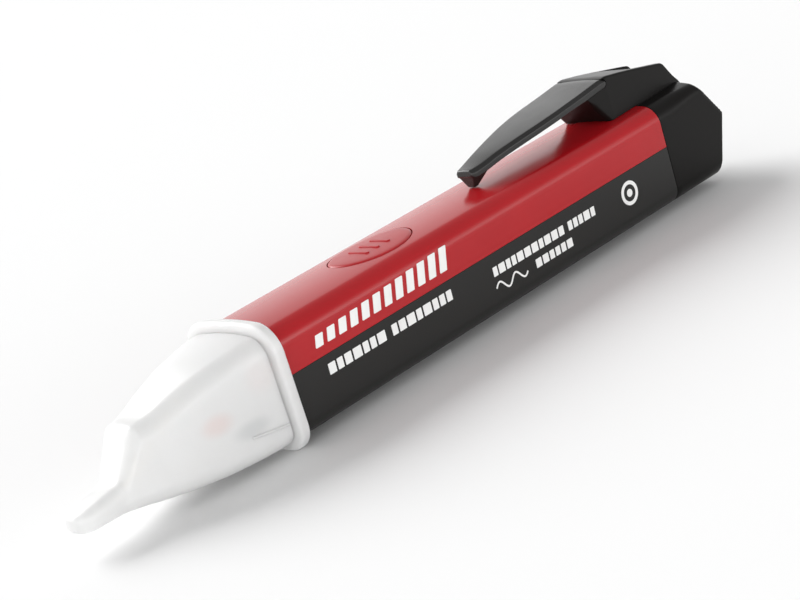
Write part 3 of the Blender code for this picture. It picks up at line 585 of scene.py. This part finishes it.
def build_nose():
    """Frosted shell with tongue, groove and collar, hollow inside, and a low rib on each side."""
    groove_x, front_round, rear_round = 37.6, 0.6, 0.5
    first = section(0.35, 0.3, 4.45, 5.25, 0.14, 0.14, 0.0)
    xs = [X_TIP + t for t in (0.04, 0.12, 0.25, 0.4, 0.6, 0.85, 1.15, 1.5, 2.0, 2.6, 3.4)]
    xs += [*np.linspace(3.6, 8.0, 8), *np.linspace(8.2, 16.4, 34), *np.linspace(17.2, 37.4, 34)]
    rings = [(X_TIP, first)] + [(x, nose_ring(x, 0.0)) for x in xs]
    # groove in front of the collar, then the collar's rounded flange
    for dx, deep in ((0.02, 0.02), (0.07, 0.2), (0.12, 0.42), (0.24, 0.5), (0.36, 0.42), (0.4, 0.25)):
        rings.append((groove_x + dx, nose_ring(groove_x, deep)))
    foot = nose_ring(groove_x, 0.05)
    outer = handle(COLLAR_OUT)
    rings.append((X_COLLAR_F, foot))
    for share, dx in ((0.35, 0.0), (0.62, 0.02)):
        rings.append((X_COLLAR_F + dx, [a.lerp(b, share) for a, b in zip(foot, outer)]))
    for turn in (0, 18, 36, 54, 72, 90):
        s, c = math.sin(math.radians(turn)), math.cos(math.radians(turn))
        rings.append((X_COLLAR_F + 0.03 + front_round * (1 - c),
                      handle(COLLAR_OUT - front_round + front_round * s)))
    for turn in (0, 22, 45, 68, 90):
        s, c = math.sin(math.radians(turn)), math.cos(math.radians(turn))
        rings.append((X_COLLAR_R - rear_round + rear_round * s,
                      handle(COLLAR_OUT - rear_round + rear_round * c)))
    rings.append((X_COLLAR_R, handle(-0.3)))
    # inside: forward to the front wall, then the flat tunnel in the tongue
    rings.append((X_COLLAR_R, nose_ring(39.2, NOSE_WALL)))
    for x in np.linspace(38.4, 10.2, 40):
        rings.append((x + 0.9, nose_ring(x, NOSE_WALL)))
    for x in (8.4, 7.0, 5.2, 3.4, 1.9):
        mid = sum(nose_at(x, 3, 4)) / 2
        rings.append((x + 0.4, section(2.0, 2.0, mid - 0.5, mid + 0.5, 0.3, 0.3, 0.0)))
    nose = loft("nose_shell", rings, angle=42)
    rib_radius, rib_sunk = 0.26, 0.06
    rib_x, rib_z, rib_fall = 30.4, 4.95, 0.135
    for sign, side in ((-1, "left"), (1, "right")):
        path = []
        for x in np.linspace(rib_x, 37.5, 9):
            z = rib_z - (x - rib_x) * rib_fall
            b0, b1, z0, z1 = nose_at(x, 1, 2, 3, 4)
            path.append((x, sign * (b0 + (b1 - b0) * (z - z0) / (z1 - z0) - rib_sunk), z))
        rib = tube("nose_rib_" + side, path, rib_radius)
        place(rib, mat_nose, "handle", "nose_clear", "nose_cone")
    place(nose, mat_nose, "handle", "nose_clear", "nose_cone")


# ------------------------------------------------------------------ handle shells
def c_ring(run, out, inn, z):
    """Closed C-shaped ring from an outer and an inner run, ending at the plane z."""
    return run(out, z) + run(inn, z)[::-1]


def shell_stations(run, sign):
    """Stations of a half shell: rounded ends, collar and spigot in front."""
    z = Z_PART + sign * SEAM / 2
    z_spigot = Z_PART + sign * 0.2
    x0, x1 = X_COLLAR_R + SEAM, X_SEAM
    # x, offset of the outer run, offset of the inner run, plane where both end
    table = [(X_SPIGOT, -2.65, -3.15, z_spigot), (X_SPIGOT + 0.15, -2.5, -3.3, z_spigot),
             (x0 + 0.2, -2.5, -3.3, z_spigot), (x0 + 0.201, -0.12, -3.3, z),
             (x0 + 0.25, -0.03, -3.3, z), (x0 + 0.35, 0.0, -3.2, z),
             (x0 + 1.5, 0.0, -3.1, z), (x0 + 1.51, 0.0, -WALL, z)]
    table += [(x, 0.0, -WALL, z)
              for x in (*np.linspace(44, 60, 5), *np.linspace(61, 84, 24), *np.linspace(90, 136, 6))]
    table += [(x1 - 0.12, 0.0, -WALL, z), (x1 - 0.035, -0.035, -WALL, z), (x1, -0.12, -WALL + 0.06, z)]
    return [(x, c_ring(run, out, inn, level)) for x, out, inn, level in table]


def build_shells():
    """Upper shell with the press pad's hole, and the lower shell."""
    top = loft("handle_top", shell_stations(upper_run, 1))
    hole = prism("pad_hole", ellipse(PAD_X, 0, PAD_A + HOLE_EASE, PAD_B + HOLE_EASE), 14, 24, "Z")
    carve(top, "DIFFERENCE", hole)
    bake(top, hole)
    place(top, mat_red, "handle", "red_shell", "upper_shell")
    bottom = loft("handle_bottom", shell_stations(lower_run, -1))
    bake(bottom)
    place(bottom, mat_black, "handle", "black_shell", "lower_shell")


def build_pad():
    """Press pad: crowned oval with a rounded rim and raised ribs, on its skirt and stem."""
    def pad_z(y):
        return SIDE_H + PAD_PROUD + CROWN * (1 - (y / HALF_TOP) ** 2)

    a, b = PAD_A + PAD_EASE, PAD_B + PAD_EASE
    # face, rim and skirt: half axes, drop below the crowned face
    levels = [(a * share, b * share, drop) for share, drop in (
        (0.15, 0.0), (0.35, 0.0), (0.55, 0.0), (0.75, 0.0), (0.88, 0.01), (0.94, 0.05), (0.975, 0.12),
        (0.993, 0.24), (1.0, 0.42), (1.0, 1.8))]
    levels += [(PAD_A + 0.9, PAD_B + 0.8, 1.98), (PAD_A + 0.9, PAD_B + 0.8, 2.5),
               (PAD_A * 0.4, PAD_B * 0.5, 2.5)]
    rings = [[world(p.x, p.y, pad_z(p.y) - drop) for p in ellipse(PAD_X, 0, ra, rb)]
             for ra, rb, drop in levels]
    for radius, z in ((1.8, 17.4), (1.8, 16.65), (1.7, 16.56)):     # the stem
        rings.append([world(p.x, p.y, z) for p in ellipse(PAD_X, 0, radius, radius)])
    pad = skin("press_pad", rings, angle=35)
    pitch, length, half, steps = 2.6, 2.6, 0.42, 24                 # of the ribs, across the pad
    ribs = []
    for k in (-1, 0, 1):
        loops = []
        for grow, z in ((0.0, -0.4), (0.0, 0.08), (-0.06, 0.17), (-0.2, 0.22)):
            loop = []
            for j in range(steps):
                turn = 2 * math.pi * j / steps
                x, y = (half + grow) * math.cos(turn), (half + grow) * math.sin(turn)
                y += length - half if math.sin(turn) >= 0 else half - length
                loop.append(world(PAD_X + pitch * k + x, y, pad_z(y) + z))
            loops.append(loop)
        ribs.append(skin("rib_%d" % k, loops))
    carve(pad, "UNION", *ribs)
    bake(pad, *ribs, angle=35)
    place(pad, mat_pad, "button", "red_pad", "test_button")


# ------------------------------------------------------------------ tail cap
def end_reach(x, d, slope):
    """Distance from the ridge line to the end face in the unit direction d, at station x."""
    low, high = 0.0, 40.0
    for _ in range(34):               # halves the interval each time
        r = (low + high) / 2
        t = X_END + 0.02 - APEX_BOW * (r * d.x / APEX_HALF) ** 2 - x
        limit = slope * math.sqrt(t * t + RIDGE_SOFT * t) if t > 0 else slope * t
        if r * abs(d.y) < limit:
            low = r
        else:
            high = r
    return low


def cap_outlines():
    """Base outline of the cap, and the same with tighter upper corners; equal point counts."""
    tight_radius, spacing = 2.0, 0.55
    low = lower_run(0.0, APEX_Z)[::-1][1:-1]
    wide = upper_run(0.0, APEX_Z) + low
    tight = upper_run(0.0, APEX_Z, top=tight_radius) + low
    both = [], []
    for k, a in enumerate(wide):
        nxt = (k + 1) % len(wide)
        steps = max(1, round((wide[nxt] - a).length / spacing))
        for j in range(steps):
            both[0].append(a.lerp(wide[nxt], j / steps))
            both[1].append(tight[k].lerp(tight[nxt], j / steps))
    return both


def cap_ring(x, wide, tight):
    """Outline of the cap at station x, cut by the end faces with a rounded edge."""
    ring = []
    # the upper corners tighten smoothly from x = 143 to 151
    share = min(1.0, max(0.0, (x - 143.0) / 8.0))
    share = share * share * (3 - 2 * share)
    for a, b in zip(wide, tight):
        p = a.lerp(b, share)
        d = p - Vector((0.0, APEX_Z))
        full = d.length
        d.normalize()
        end = end_reach(x, d, SLOPE_UP if d.y > 0 else SLOPE_DOWN)
        h = min(1.0, max(0.0, 0.5 + 0.5 * (end - full) / CAP_SOFT))
        ring.append(Vector((0.0, APEX_Z)) + d * (end * (1 - h) + full * h - CAP_SOFT * h * (1 - h)))
    return ring


def build_block():
    """Clip block: sides run on from the leaf's, rounded front edges, socket round the clip's root.

    The tables give its lower edge, its upper edge and its half width at stations x.
    """
    bottom = [(127.1, 25.3), (130.75, 20.3), (132.75, 17.5), (153.95, 17.5)]
    top = [(127.1, 25.48), (129.0, 25.7), (131.0, 25.93), (132.1, 25.98), (132.13, 27.74), (132.6, 27.8),
           (133.2, 27.84), (133.8, 27.81), (137.5, 27.14), (141.5, 26.3), (145.5, 25.4), (149.3, 24.55),
           (149.8, 24.4), (150.2, 24.1), (150.55, 23.6), (151.15, 22.65), (152.0, 21.35), (152.6, 20.6),
           (153.15, 20.0), (153.6, 19.3), (153.95, 18.2)]
    plan = [(125.0, BLOCK_FRONT), (132.5, BLOCK_FRONT), (150.0, BLOCK_REAR), (156.0, 4.72)]
    xs = sorted({p[0] for p in bottom + top} | set(np.round(np.linspace(127.4, 132.0, 16), 3))
                | set(np.round(np.linspace(134.5, 149.0, 12), 3)))
    rings = []
    for x in xs:
        z0, z1, half = (float(np.interp(x, *zip(*table))) for table in (bottom, top, plan))
        low = min(1.15, (z1 - z0) * 0.42)
        high = min(0.5, (z1 - z0) * 0.42) if x > 132.11 else min(0.04, (z1 - z0) * 0.3)
        rings.append((x, section(half, half, z0, z1, low, high, 0.0, n=8)))
    block = loft("block", rings, 28)
    socket = turned("socket", [(-7.0, 0.87), (7.0, 0.87)], (0, 0, 0), steps=96)
    socket.data.transform(Matrix.Translation(-world(0, 0, 0)))
    socket.data.transform(Matrix.Translation(world(CLIP_ROOT_X, 0, CLIP_ROOT_Z))
                          @ Matrix.Rotation(math.pi / 2, 4, "Z"))
    carve(block, "DIFFERENCE", socket)
    return block, socket


def build_cap():
    """Tail cap with its clip block, plug, and the bores for the rear cell, spring and contact arm."""
    x0 = X_SEAM + SEAM
    outline, tight = cap_outlines()
    centre = Vector((0.0, APEX_Z))
    rings = []
    for dx, s in ((0.0, 0.988), (0.03, 0.9965), (0.12, 1.0)):
        rings.append((x0 + dx, [centre + (p - centre) * s for p in outline]))
    xs = [*np.linspace(141.0, 149.0, 6), *np.arange(149.4, 157.0, 0.22), *np.arange(157.0, 158.1, 0.1),
          158.2, 158.3, 158.38, 158.44, X_END]
    rings += [(x, cap_ring(x, outline, tight)) for x in xs]
    cap = loft("end_cap", rings, angle=40)
    block, socket = build_block()
    saddle = prism("saddle", handle(0.12), 120.0, X_SEAM + 0.2, "X")
    carve(block, "DIFFERENCE", saddle)
    trough = prism("trough", [(142.0, -4.2), (156.0, -3.5), (156.0, 3.5), (142.0, 4.2)], 22.1, 30.0, "Z")
    bevel(trough, 0.4, 3, 60)
    plug = prism("plug", handle(-WALL - 0.12), X_SEAM - 6.4, X_SEAM + 1.0, "X")
    plug_bore = prism("plug_bore", handle(-WALL - 1.15), X_SEAM - 8.0, X_SEAM - 0.6, "X")
    cell_bore = turned("cell_bore", [(129.5, 5.7), (150.5, 5.7)], (0, 0, CELL_Z), steps=72)
    spring_bore = turned("spring_bore", [(143.6, 4.4), (152.4, 4.4)], (0, 0, CELL_Z), steps=64)
    arm_slot = box("arm_slot", (130.0, 152.4), (2.0, 6.8), (CELL_Z - 0.95, CELL_Z + 0.95))
    carve(cap, "UNION", block, plug)
    carve(cap, "DIFFERENCE", plug_bore, cell_bore, spring_bore, arm_slot, trough)
    bake(cap, block, socket, saddle, trough, plug, plug_bore, cell_bore, spring_bore, arm_slot, angle=32)
    place(cap, mat_cap_painted_shade, "cap", "black_cap", "tail_cap")


# ------------------------------------------------------------------ pocket clip
LEAF = np.array([
    # x, half width, top z
    (98.2, 2.15, 23.54), (98.9, 2.45, 23.6), (104.6, 3.6, 24.62), (109.5, 4.6, 25.35),
    (114.5, 5.5, 25.98), (119.4, 5.95, 26.5), (126.0, 6.0, 27.1), (131.4, 6.0, 27.66),
])


def leaf_ring(half, top, thick, ease=1.0):
    """Flat bar with a chamfered upper edge, faintly crowned on top."""
    c = min(0.55, thick * 0.34)
    e = min(0.12, thick * 0.09) * ease
    low, mid = top - thick, top - c
    pts = [(0.0, low), (-half * 0.5, low), (-half + 3 * e, low), (-half + e, low + 0.3 * e),
           (-half + 0.3 * e, low + e), (-half, low + 3 * e), (-half, mid - 0.18), (-half + 0.03, mid - 0.06),
           (-half + 0.1, mid + 0.03), (-half + c * 0.86, top - 0.11 * c), (-half + c, top - 0.03 * c),
           (-half + c * 1.2, top)]
    edge = half - c * 1.2
    pts += [(-edge * (1 - k / 6), top) for k in range(1, 7)]
    side = [Vector((y, z + (0.1 * (1 - (y / half) ** 2) if z > mid else 0.0))) for y, z in pts]
    return side + [Vector((-p.x, p.y)) for p in side[-2:0:-1]]


def build_clip():
    """Clip leaf with a rounded tip and root, and the hook under its tip."""
    rings = []
    for x, half, top, thick in ((0.0, 1.5, 23.12, 0.55), (0.02, 1.72, 23.27, 0.85),
                                (0.07, 1.88, 23.38, 1.08), (0.16, 1.99, 23.46, 1.25),
                                (0.28, 2.08, 23.51, 1.38), (0.4, 2.15, 23.54, 1.45)):
        rings.append((CLIP_TIP_X + x, leaf_ring(half, top, thick)))
    for x in (98.5, 98.9, *np.linspace(99.6, 131.4, 34)):
        half, top = (monotone(LEAF[:, 0], LEAF[:, c], x) for c in (1, 2))
        ease = min(1.0, max(0.12, (127.0 - x) / 3.0))
        rings.append((x, leaf_ring(half, top, CLIP_T if x > 98.8 else 1.55, ease)))
    r = CLIP_T / 2
    for turn in (15, 30, 45, 60, 72, 80):
        s, c = math.sin(math.radians(turn)), math.cos(math.radians(turn))
        rings.append((CLIP_ROOT_X + r * s * 0.95, leaf_ring(5.96, CLIP_ROOT_Z + r * c, 2 * r * c, 0.12)))
    leaf = loft("clip_leaf", rings, angle=28)
    # the hook, level by level: z, front x, rear x, half width
    rings = []
    for z, xa, xb, h in ((20.03, 98.85, 99.5, 0.8), (20.06, 98.74, 99.66, 0.9),
                         (20.2, 98.64, 99.82, 1.0), (20.5, 98.55, 100.15, 1.14),
                         (21.2, 98.38, 101.05, 1.5), (22.0, 98.18, 102.05, 1.9),
                         (22.3, 98.12, 102.45, 2.02), (22.8, 98.1, 103.1, 2.05), (23.2, 98.2, 103.5, 1.9)):
        ring = []
        r = min(0.3, (xb - xa) * 0.3)
        corners = [(xa, -h), (xb, -h), (xb, h), (xa, h)]
        for k, b in enumerate(corners):
            ring += [world(p[0], p[1], z) for p in arc(corners[k - 1], b, corners[(k + 1) % 4], r, 4)]
        rings.append(ring)
    hook = skin("hook", rings)
    carve(leaf, "UNION", hook)
    bake(leaf, hook, angle=28)
    place(leaf, mat_clip, "clip", "black_clip", "pocket_clip")


# ------------------------------------------------------------------ generic printed marks
def plate(loops, proud=0.025, deep=0.05):
    """Thin closed plates on the -Y side of the handle; each loop is (x, z) points."""
    bm = bmesh.new()
    for loop in loops:
        front = [bm.verts.new(world(x, -side_at(proud, z), z)) for x, z in loop]
        back = [bm.verts.new(world(x, -side_at(-deep, z), z)) for x, z in loop]
        n = len(loop)
        for k in range(n):
            bm.faces.new((front[k], front[(k + 1) % n], back[(k + 1) % n], back[k]))
        bm.faces.new(front[::-1])
        bm.faces.new(back)
    return bm


def slanted(x, z, w, h, lean=0.28, r=0.16):
    """Parallelogram with softened corners."""
    raw = [(x, z), (x + w, z), (x + w + lean * h, z + h), (x + lean * h, z + h)]
    out = []
    for k, b in enumerate(raw):
        out += [tuple(p) for p in arc(raw[k - 1], b, raw[(k + 1) % 4], min(r, w * 0.3, h * 0.3), 3)]
    return out


def ribbon(line, thick):
    """Outline of a band of even width along a line."""
    left, right = [], []
    for k, p in enumerate(line):
        a, b = Vector(line[max(0, k - 1)]), Vector(line[min(len(line) - 1, k + 1)])
        d = (b - a).normalized()
        n = Vector((-d.y, d.x)) * thick / 2
        left.append(tuple(Vector(p) + n))
        right.append(tuple(Vector(p) - n))
    return left + right[::-1]


def circle(x, z, radius, n):
    """Closed loop of n points for a plate."""
    return [(x + radius * math.cos(2 * math.pi * k / n), z + radius * math.sin(2 * math.pi * k / n))
            for k in range(n)]


def dash_row(rng, x, z, widths, count, height, corner_r, gap, break_after=None, wide_gap=0.0):
    """Row of upright dashes with random widths and one wider gap."""
    row = []
    for k in range(count):
        w = rng.choice(widths)
        row.append(slanted(x, z, w, height, 0.05, corner_r))
        x += w + (wide_gap if k == break_after else gap)
    return row


def build_marks():
    """Generic marks in place of the printing: bars, dashes, a wave line, a ring with a dot."""
    def mark(obj):
        place(obj, mat_print, "handle", "tray_grey")

    mark(to_object("mark_slanted_bars", plate([slanted(47.0 + 2.72 * k, 12.85, 1.75, 2.1 + 0.19 * k)
                                               for k in range(12)])))
    rng = random.Random(7)
    mark(to_object("mark_dashes", plate(dash_row(rng, 48.2, 7.6, (1.3, 1.6, 1.9), 15, 1.9, 0.12,
                                                 0.42, 6, 1.6))))
    wave = [(88.4 + 0.25 * k, 4.9 + 0.85 * math.sin(0.25 * k * 2 * math.pi / 4.2)) for k in range(34)]
    small = [ribbon(wave, 0.34)]
    small += dash_row(rng, 99.0, 4.1, (1.2, 1.5), 6, 1.6, 0.1, 0.4)
    small += dash_row(rng, 88.6, 7.0, (1.1, 1.35, 1.6), 16, 1.7, 0.1, 0.38, 10, 1.3)
    mark(to_object("mark_small_dashes", plate(small)))
    ring_x, ring_z = 126.6, 7.1
    ring = to_object("mark_rings", plate([circle(ring_x, ring_z, 2.3, 40)]))
    hole = to_object("ring_hole", plate([circle(ring_x, ring_z, 1.6, 40)], 0.2, 0.3))
    dot = to_object("ring_dot", plate([circle(ring_x, ring_z, 0.75, 32)]))
    carve(ring, "DIFFERENCE", hole)
    carve(ring, "UNION", dot)
    bake(ring, hole, dot, weighted=False)
    mark(ring)


# ------------------------------------------------------------------ lamp, contacts, cells, spring
def build_inside():
    """Lamp with its leads, both cells with their sleeves, and the conical spring."""
    lens = [(26.4 + 1.5 * (1 - math.cos(math.radians(t))), 1.5 * math.sin(math.radians(t)))
            for t in range(4, 91, 8)]
    lens += [(30.75, 1.5), (30.8, 1.55), (30.82, 1.84), (30.88, 1.9), (31.72, 1.9), (31.8, 1.84)]
    lamp = turned("lamp_lens", lens, (0, 0, LED_Z), steps=48)
    place(lamp, mat_led, "handle", "lamp_red", "led_lens")
    bend_x, bend_r = 33.2, 0.8
    for tag, y in (("1", -1.27), ("2", 1.27)):
        path = [(31.88, y, LED_Z), (bend_x, y, LED_Z)]
        for turn in (15, 30, 45, 60, 75, 90):
            s, c = math.sin(math.radians(turn)), math.cos(math.radians(turn))
            path.append((bend_x + bend_r * s, y, LED_Z + bend_r - bend_r * c))
        path.append((bend_x + bend_r, y, 13.4))
        place(tube("lamp_lead_" + tag, path, 0.24), mat_tin, "handle", "tinned", "led_lead_" + tag)
    # profiles of a cell from its positive end: distance along it, radius
    can = [(1.35, 0.0), (1.35, 4.3), (1.45, 4.55), (1.85, 5.0), (2.1, 5.05), (CELL_L - 0.5, 5.05),
           (CELL_L - 0.2, 4.95), (CELL_L - 0.02, 4.7), (CELL_L, 4.3), (CELL_L - 0.12, 4.1),
           (CELL_L - 0.12, 0.0)]
    terminal = [(0.0, 0.0), (0.0, 1.5), (0.05, 1.75), (0.25, 1.9), (1.0, 1.92), (1.06, 2.2), (1.06, 2.8),
                (1.12, 2.9), (1.31, 2.9), (1.31, 0.0)]
    wall = [(2.0, 5.09), (2.05, 5.2), (2.2, CELL_R), (CELL_L - 0.7, CELL_R), (CELL_L - 0.62, 5.2),
            (CELL_L - 0.7, 5.09)]
    film = sleeve_material()
    for tag, x0 in CELL_X.items():
        body = tag + "_cell"
        place(turned("cell_can_" + tag, can, (x0, 0, CELL_Z)), mat_can, body, "cell_metal",
              "cell_%s_can" % tag)
        place(turned("cell_terminal_" + tag, terminal, (x0, 0, CELL_Z)), mat_can, body, "cell_metal",
              "cell_%s_nub" % tag)
        rings = []
        for k in range(64):
            a = 2 * math.pi * k / 64
            rings.append([world(x0 + t, r * math.cos(a), CELL_Z + r * math.sin(a)) for t, r in wall])
        place(skin("cell_film_" + tag, rings, closed=True), film, body, "cell_sleeve",
              "cell_%s_sleeve" % tag)
    coil, turns, per_turn = [], 4.5, 36
    for k in range(int(turns * per_turn) + 1):
        s = k / (turns * per_turn)
        ease = min(1.0, max(0.0, (s - 0.12) / 0.76))
        r, a = 3.45 - 0.85 * s, 2 * math.pi * turns * s
        coil.append((151.6 - 4.8 * ease, r * math.cos(a), CELL_Z + r * math.sin(a)))
    place(tube("cap_coil", coil, 0.3, 6), mat_wire, "cap", "spring_steel", "cap_spring")


def dress_cad():
    """Materials of the CAD pieces that show as they are."""
    looks = {"circuit_board": board_material(), "switch_body": mat_housing, "switch_cover": mat_nickel,
             "switch_plunger": mat_plunger, "chip_package": mat_chip, "transistor": mat_chip,
             "buzzer": mat_housing, "sensor_strip": mat_brass, "battery_tray": mat_tray,
             "front_contact": mat_nickel, "return_strip": mat_nickel, "cap_contact": mat_nickel}
    looks.update({"resistor_%d" % k: mat_resistor for k in range(1, 5)})
    looks.update({"capacitor_%d" % k: mat_capacitor for k in range(1, 4)})
    for name, material in looks.items():
        node = frame["nodes"][name]
        node.data.materials.clear()
        node.data.materials.append(material)


# ------------------------------------------------------------------ stage, light, camera
# strengths of the pale room: its even level, a bright wall low in front, a bright panel high behind
ROOM, FRONT_WALL, BACK_PANEL = 0.47, 3.5, 0.8
SUN, SUN_FROM, SUN_WIDTH = 2.95, (-0.12, 0.82, 0.58), 46      # strength, direction, degrees


def build_floor():
    """Plain pale floor just under the handle."""
    bm = bmesh.new()
    bmesh.ops.create_grid(bm, x_segments=8, y_segments=8, size=3.0)
    floor = to_object("floor", bm)
    floor.location.z = CAD_BOX[0][2] - FLOOR_GAP
    mat, nodes, links, bsdf = new_material("pale_floor")
    coords = nodes.new("ShaderNodeTexCoord").outputs["Object"]
    fac = noise(nodes, links, coords, 3, 2.0)
    links.new(blend_colour(nodes, links, fac, (0.815, 0.815, 0.815), (0.83, 0.83, 0.83)),
              bsdf.inputs["Base Color"])
    bsdf.inputs["Roughness"].default_value = 0.9
    bsdf.inputs["Specular IOR Level"].default_value = 0.1
    floor.data.materials.append(mat)


def build_light():
    """White surroundings of uneven brightness, and one broad sun from behind."""
    studio = bpy.data.worlds.new("studio")
    studio.use_nodes = True
    nodes, links = studio.node_tree.nodes, studio.node_tree.links
    back = nodes["Background"]
    split = nodes.new("ShaderNodeSeparateXYZ")
    links.new(nodes.new("ShaderNodeTexCoord").outputs["Generated"], split.inputs["Vector"])
    x, y, z = (split.outputs[axis] for axis in "XYZ")

    def combine(operation, a, b):
        node = nodes.new("ShaderNodeMath")
        node.operation = operation
        for socket, value in zip(node.inputs, (a, b)):
            if isinstance(value, float):
                socket.default_value = value
            else:
                links.new(value, socket)
        return node.outputs[0]

    def ramp(source, a, b, low, high):
        return map_range(nodes, links, source, a, b, low, high, "SMOOTHSTEP")

    front = combine("ADD", combine("MULTIPLY", y, 0.87), combine("MULTIPLY", x, 0.5))
    wall = combine("MULTIPLY", ramp(front, 0.1, -0.7, 0.0, FRONT_WALL), ramp(z, 0.08, 0.45, 1.0, 0.0))
    panel = combine("MULTIPLY", ramp(y, -0.15, 0.65, 0.0, BACK_PANEL), ramp(z, 0.3, 0.7, 1.0, 0.0))
    links.new(combine("ADD", combine("ADD", wall, panel), ROOM), back.inputs["Strength"])
    back.inputs["Color"].default_value = (1.0, 1.0, 1.0, 1.0)
    bpy.context.scene.world = studio
    bpy.context.scene.view_settings.view_transform = "Standard"

    sun = bpy.data.lights.new("back_sun", "SUN")
    sun.energy = SUN
    sun.angle = math.radians(SUN_WIDTH)
    lamp = bpy.data.objects.new("back_sun", sun)
    lamp.location = Vector(SUN_FROM).normalized()
    lamp.rotation_euler = Vector(SUN_FROM).to_track_quat("Z", "Y").to_euler()
    bpy.context.scene.collection.objects.link(lamp)


def build_camera():
    """Camera of the reference view: ahead of the nose, on the -Y side, looking down a little."""
    data = bpy.data.cameras.new("camera")
    data.sensor_width = 36.0
    data.lens = 97.9
    data.clip_start = 0.01
    camera = bpy.data.objects.new("camera", data)
    right = Vector((0.68487, -0.66246, -0.30349))
    up = Vector((0.41502, 0.01229, 0.90973))
    back = Vector((-0.59892, -0.74900, 0.28335))
    turn = Matrix((right, up, back)).transposed().to_4x4()
    camera.matrix_world = Matrix.Translation(world(-151.85, -283.61, 116.03)) @ turn
    bpy.context.scene.collection.objects.link(camera)
    bpy.context.scene.camera = camera


build_camera()
build_floor()
build_light()
build_nose()
build_shells()
build_pad()
build_cap()
build_clip()
build_marks()
build_inside()
dress_cad()
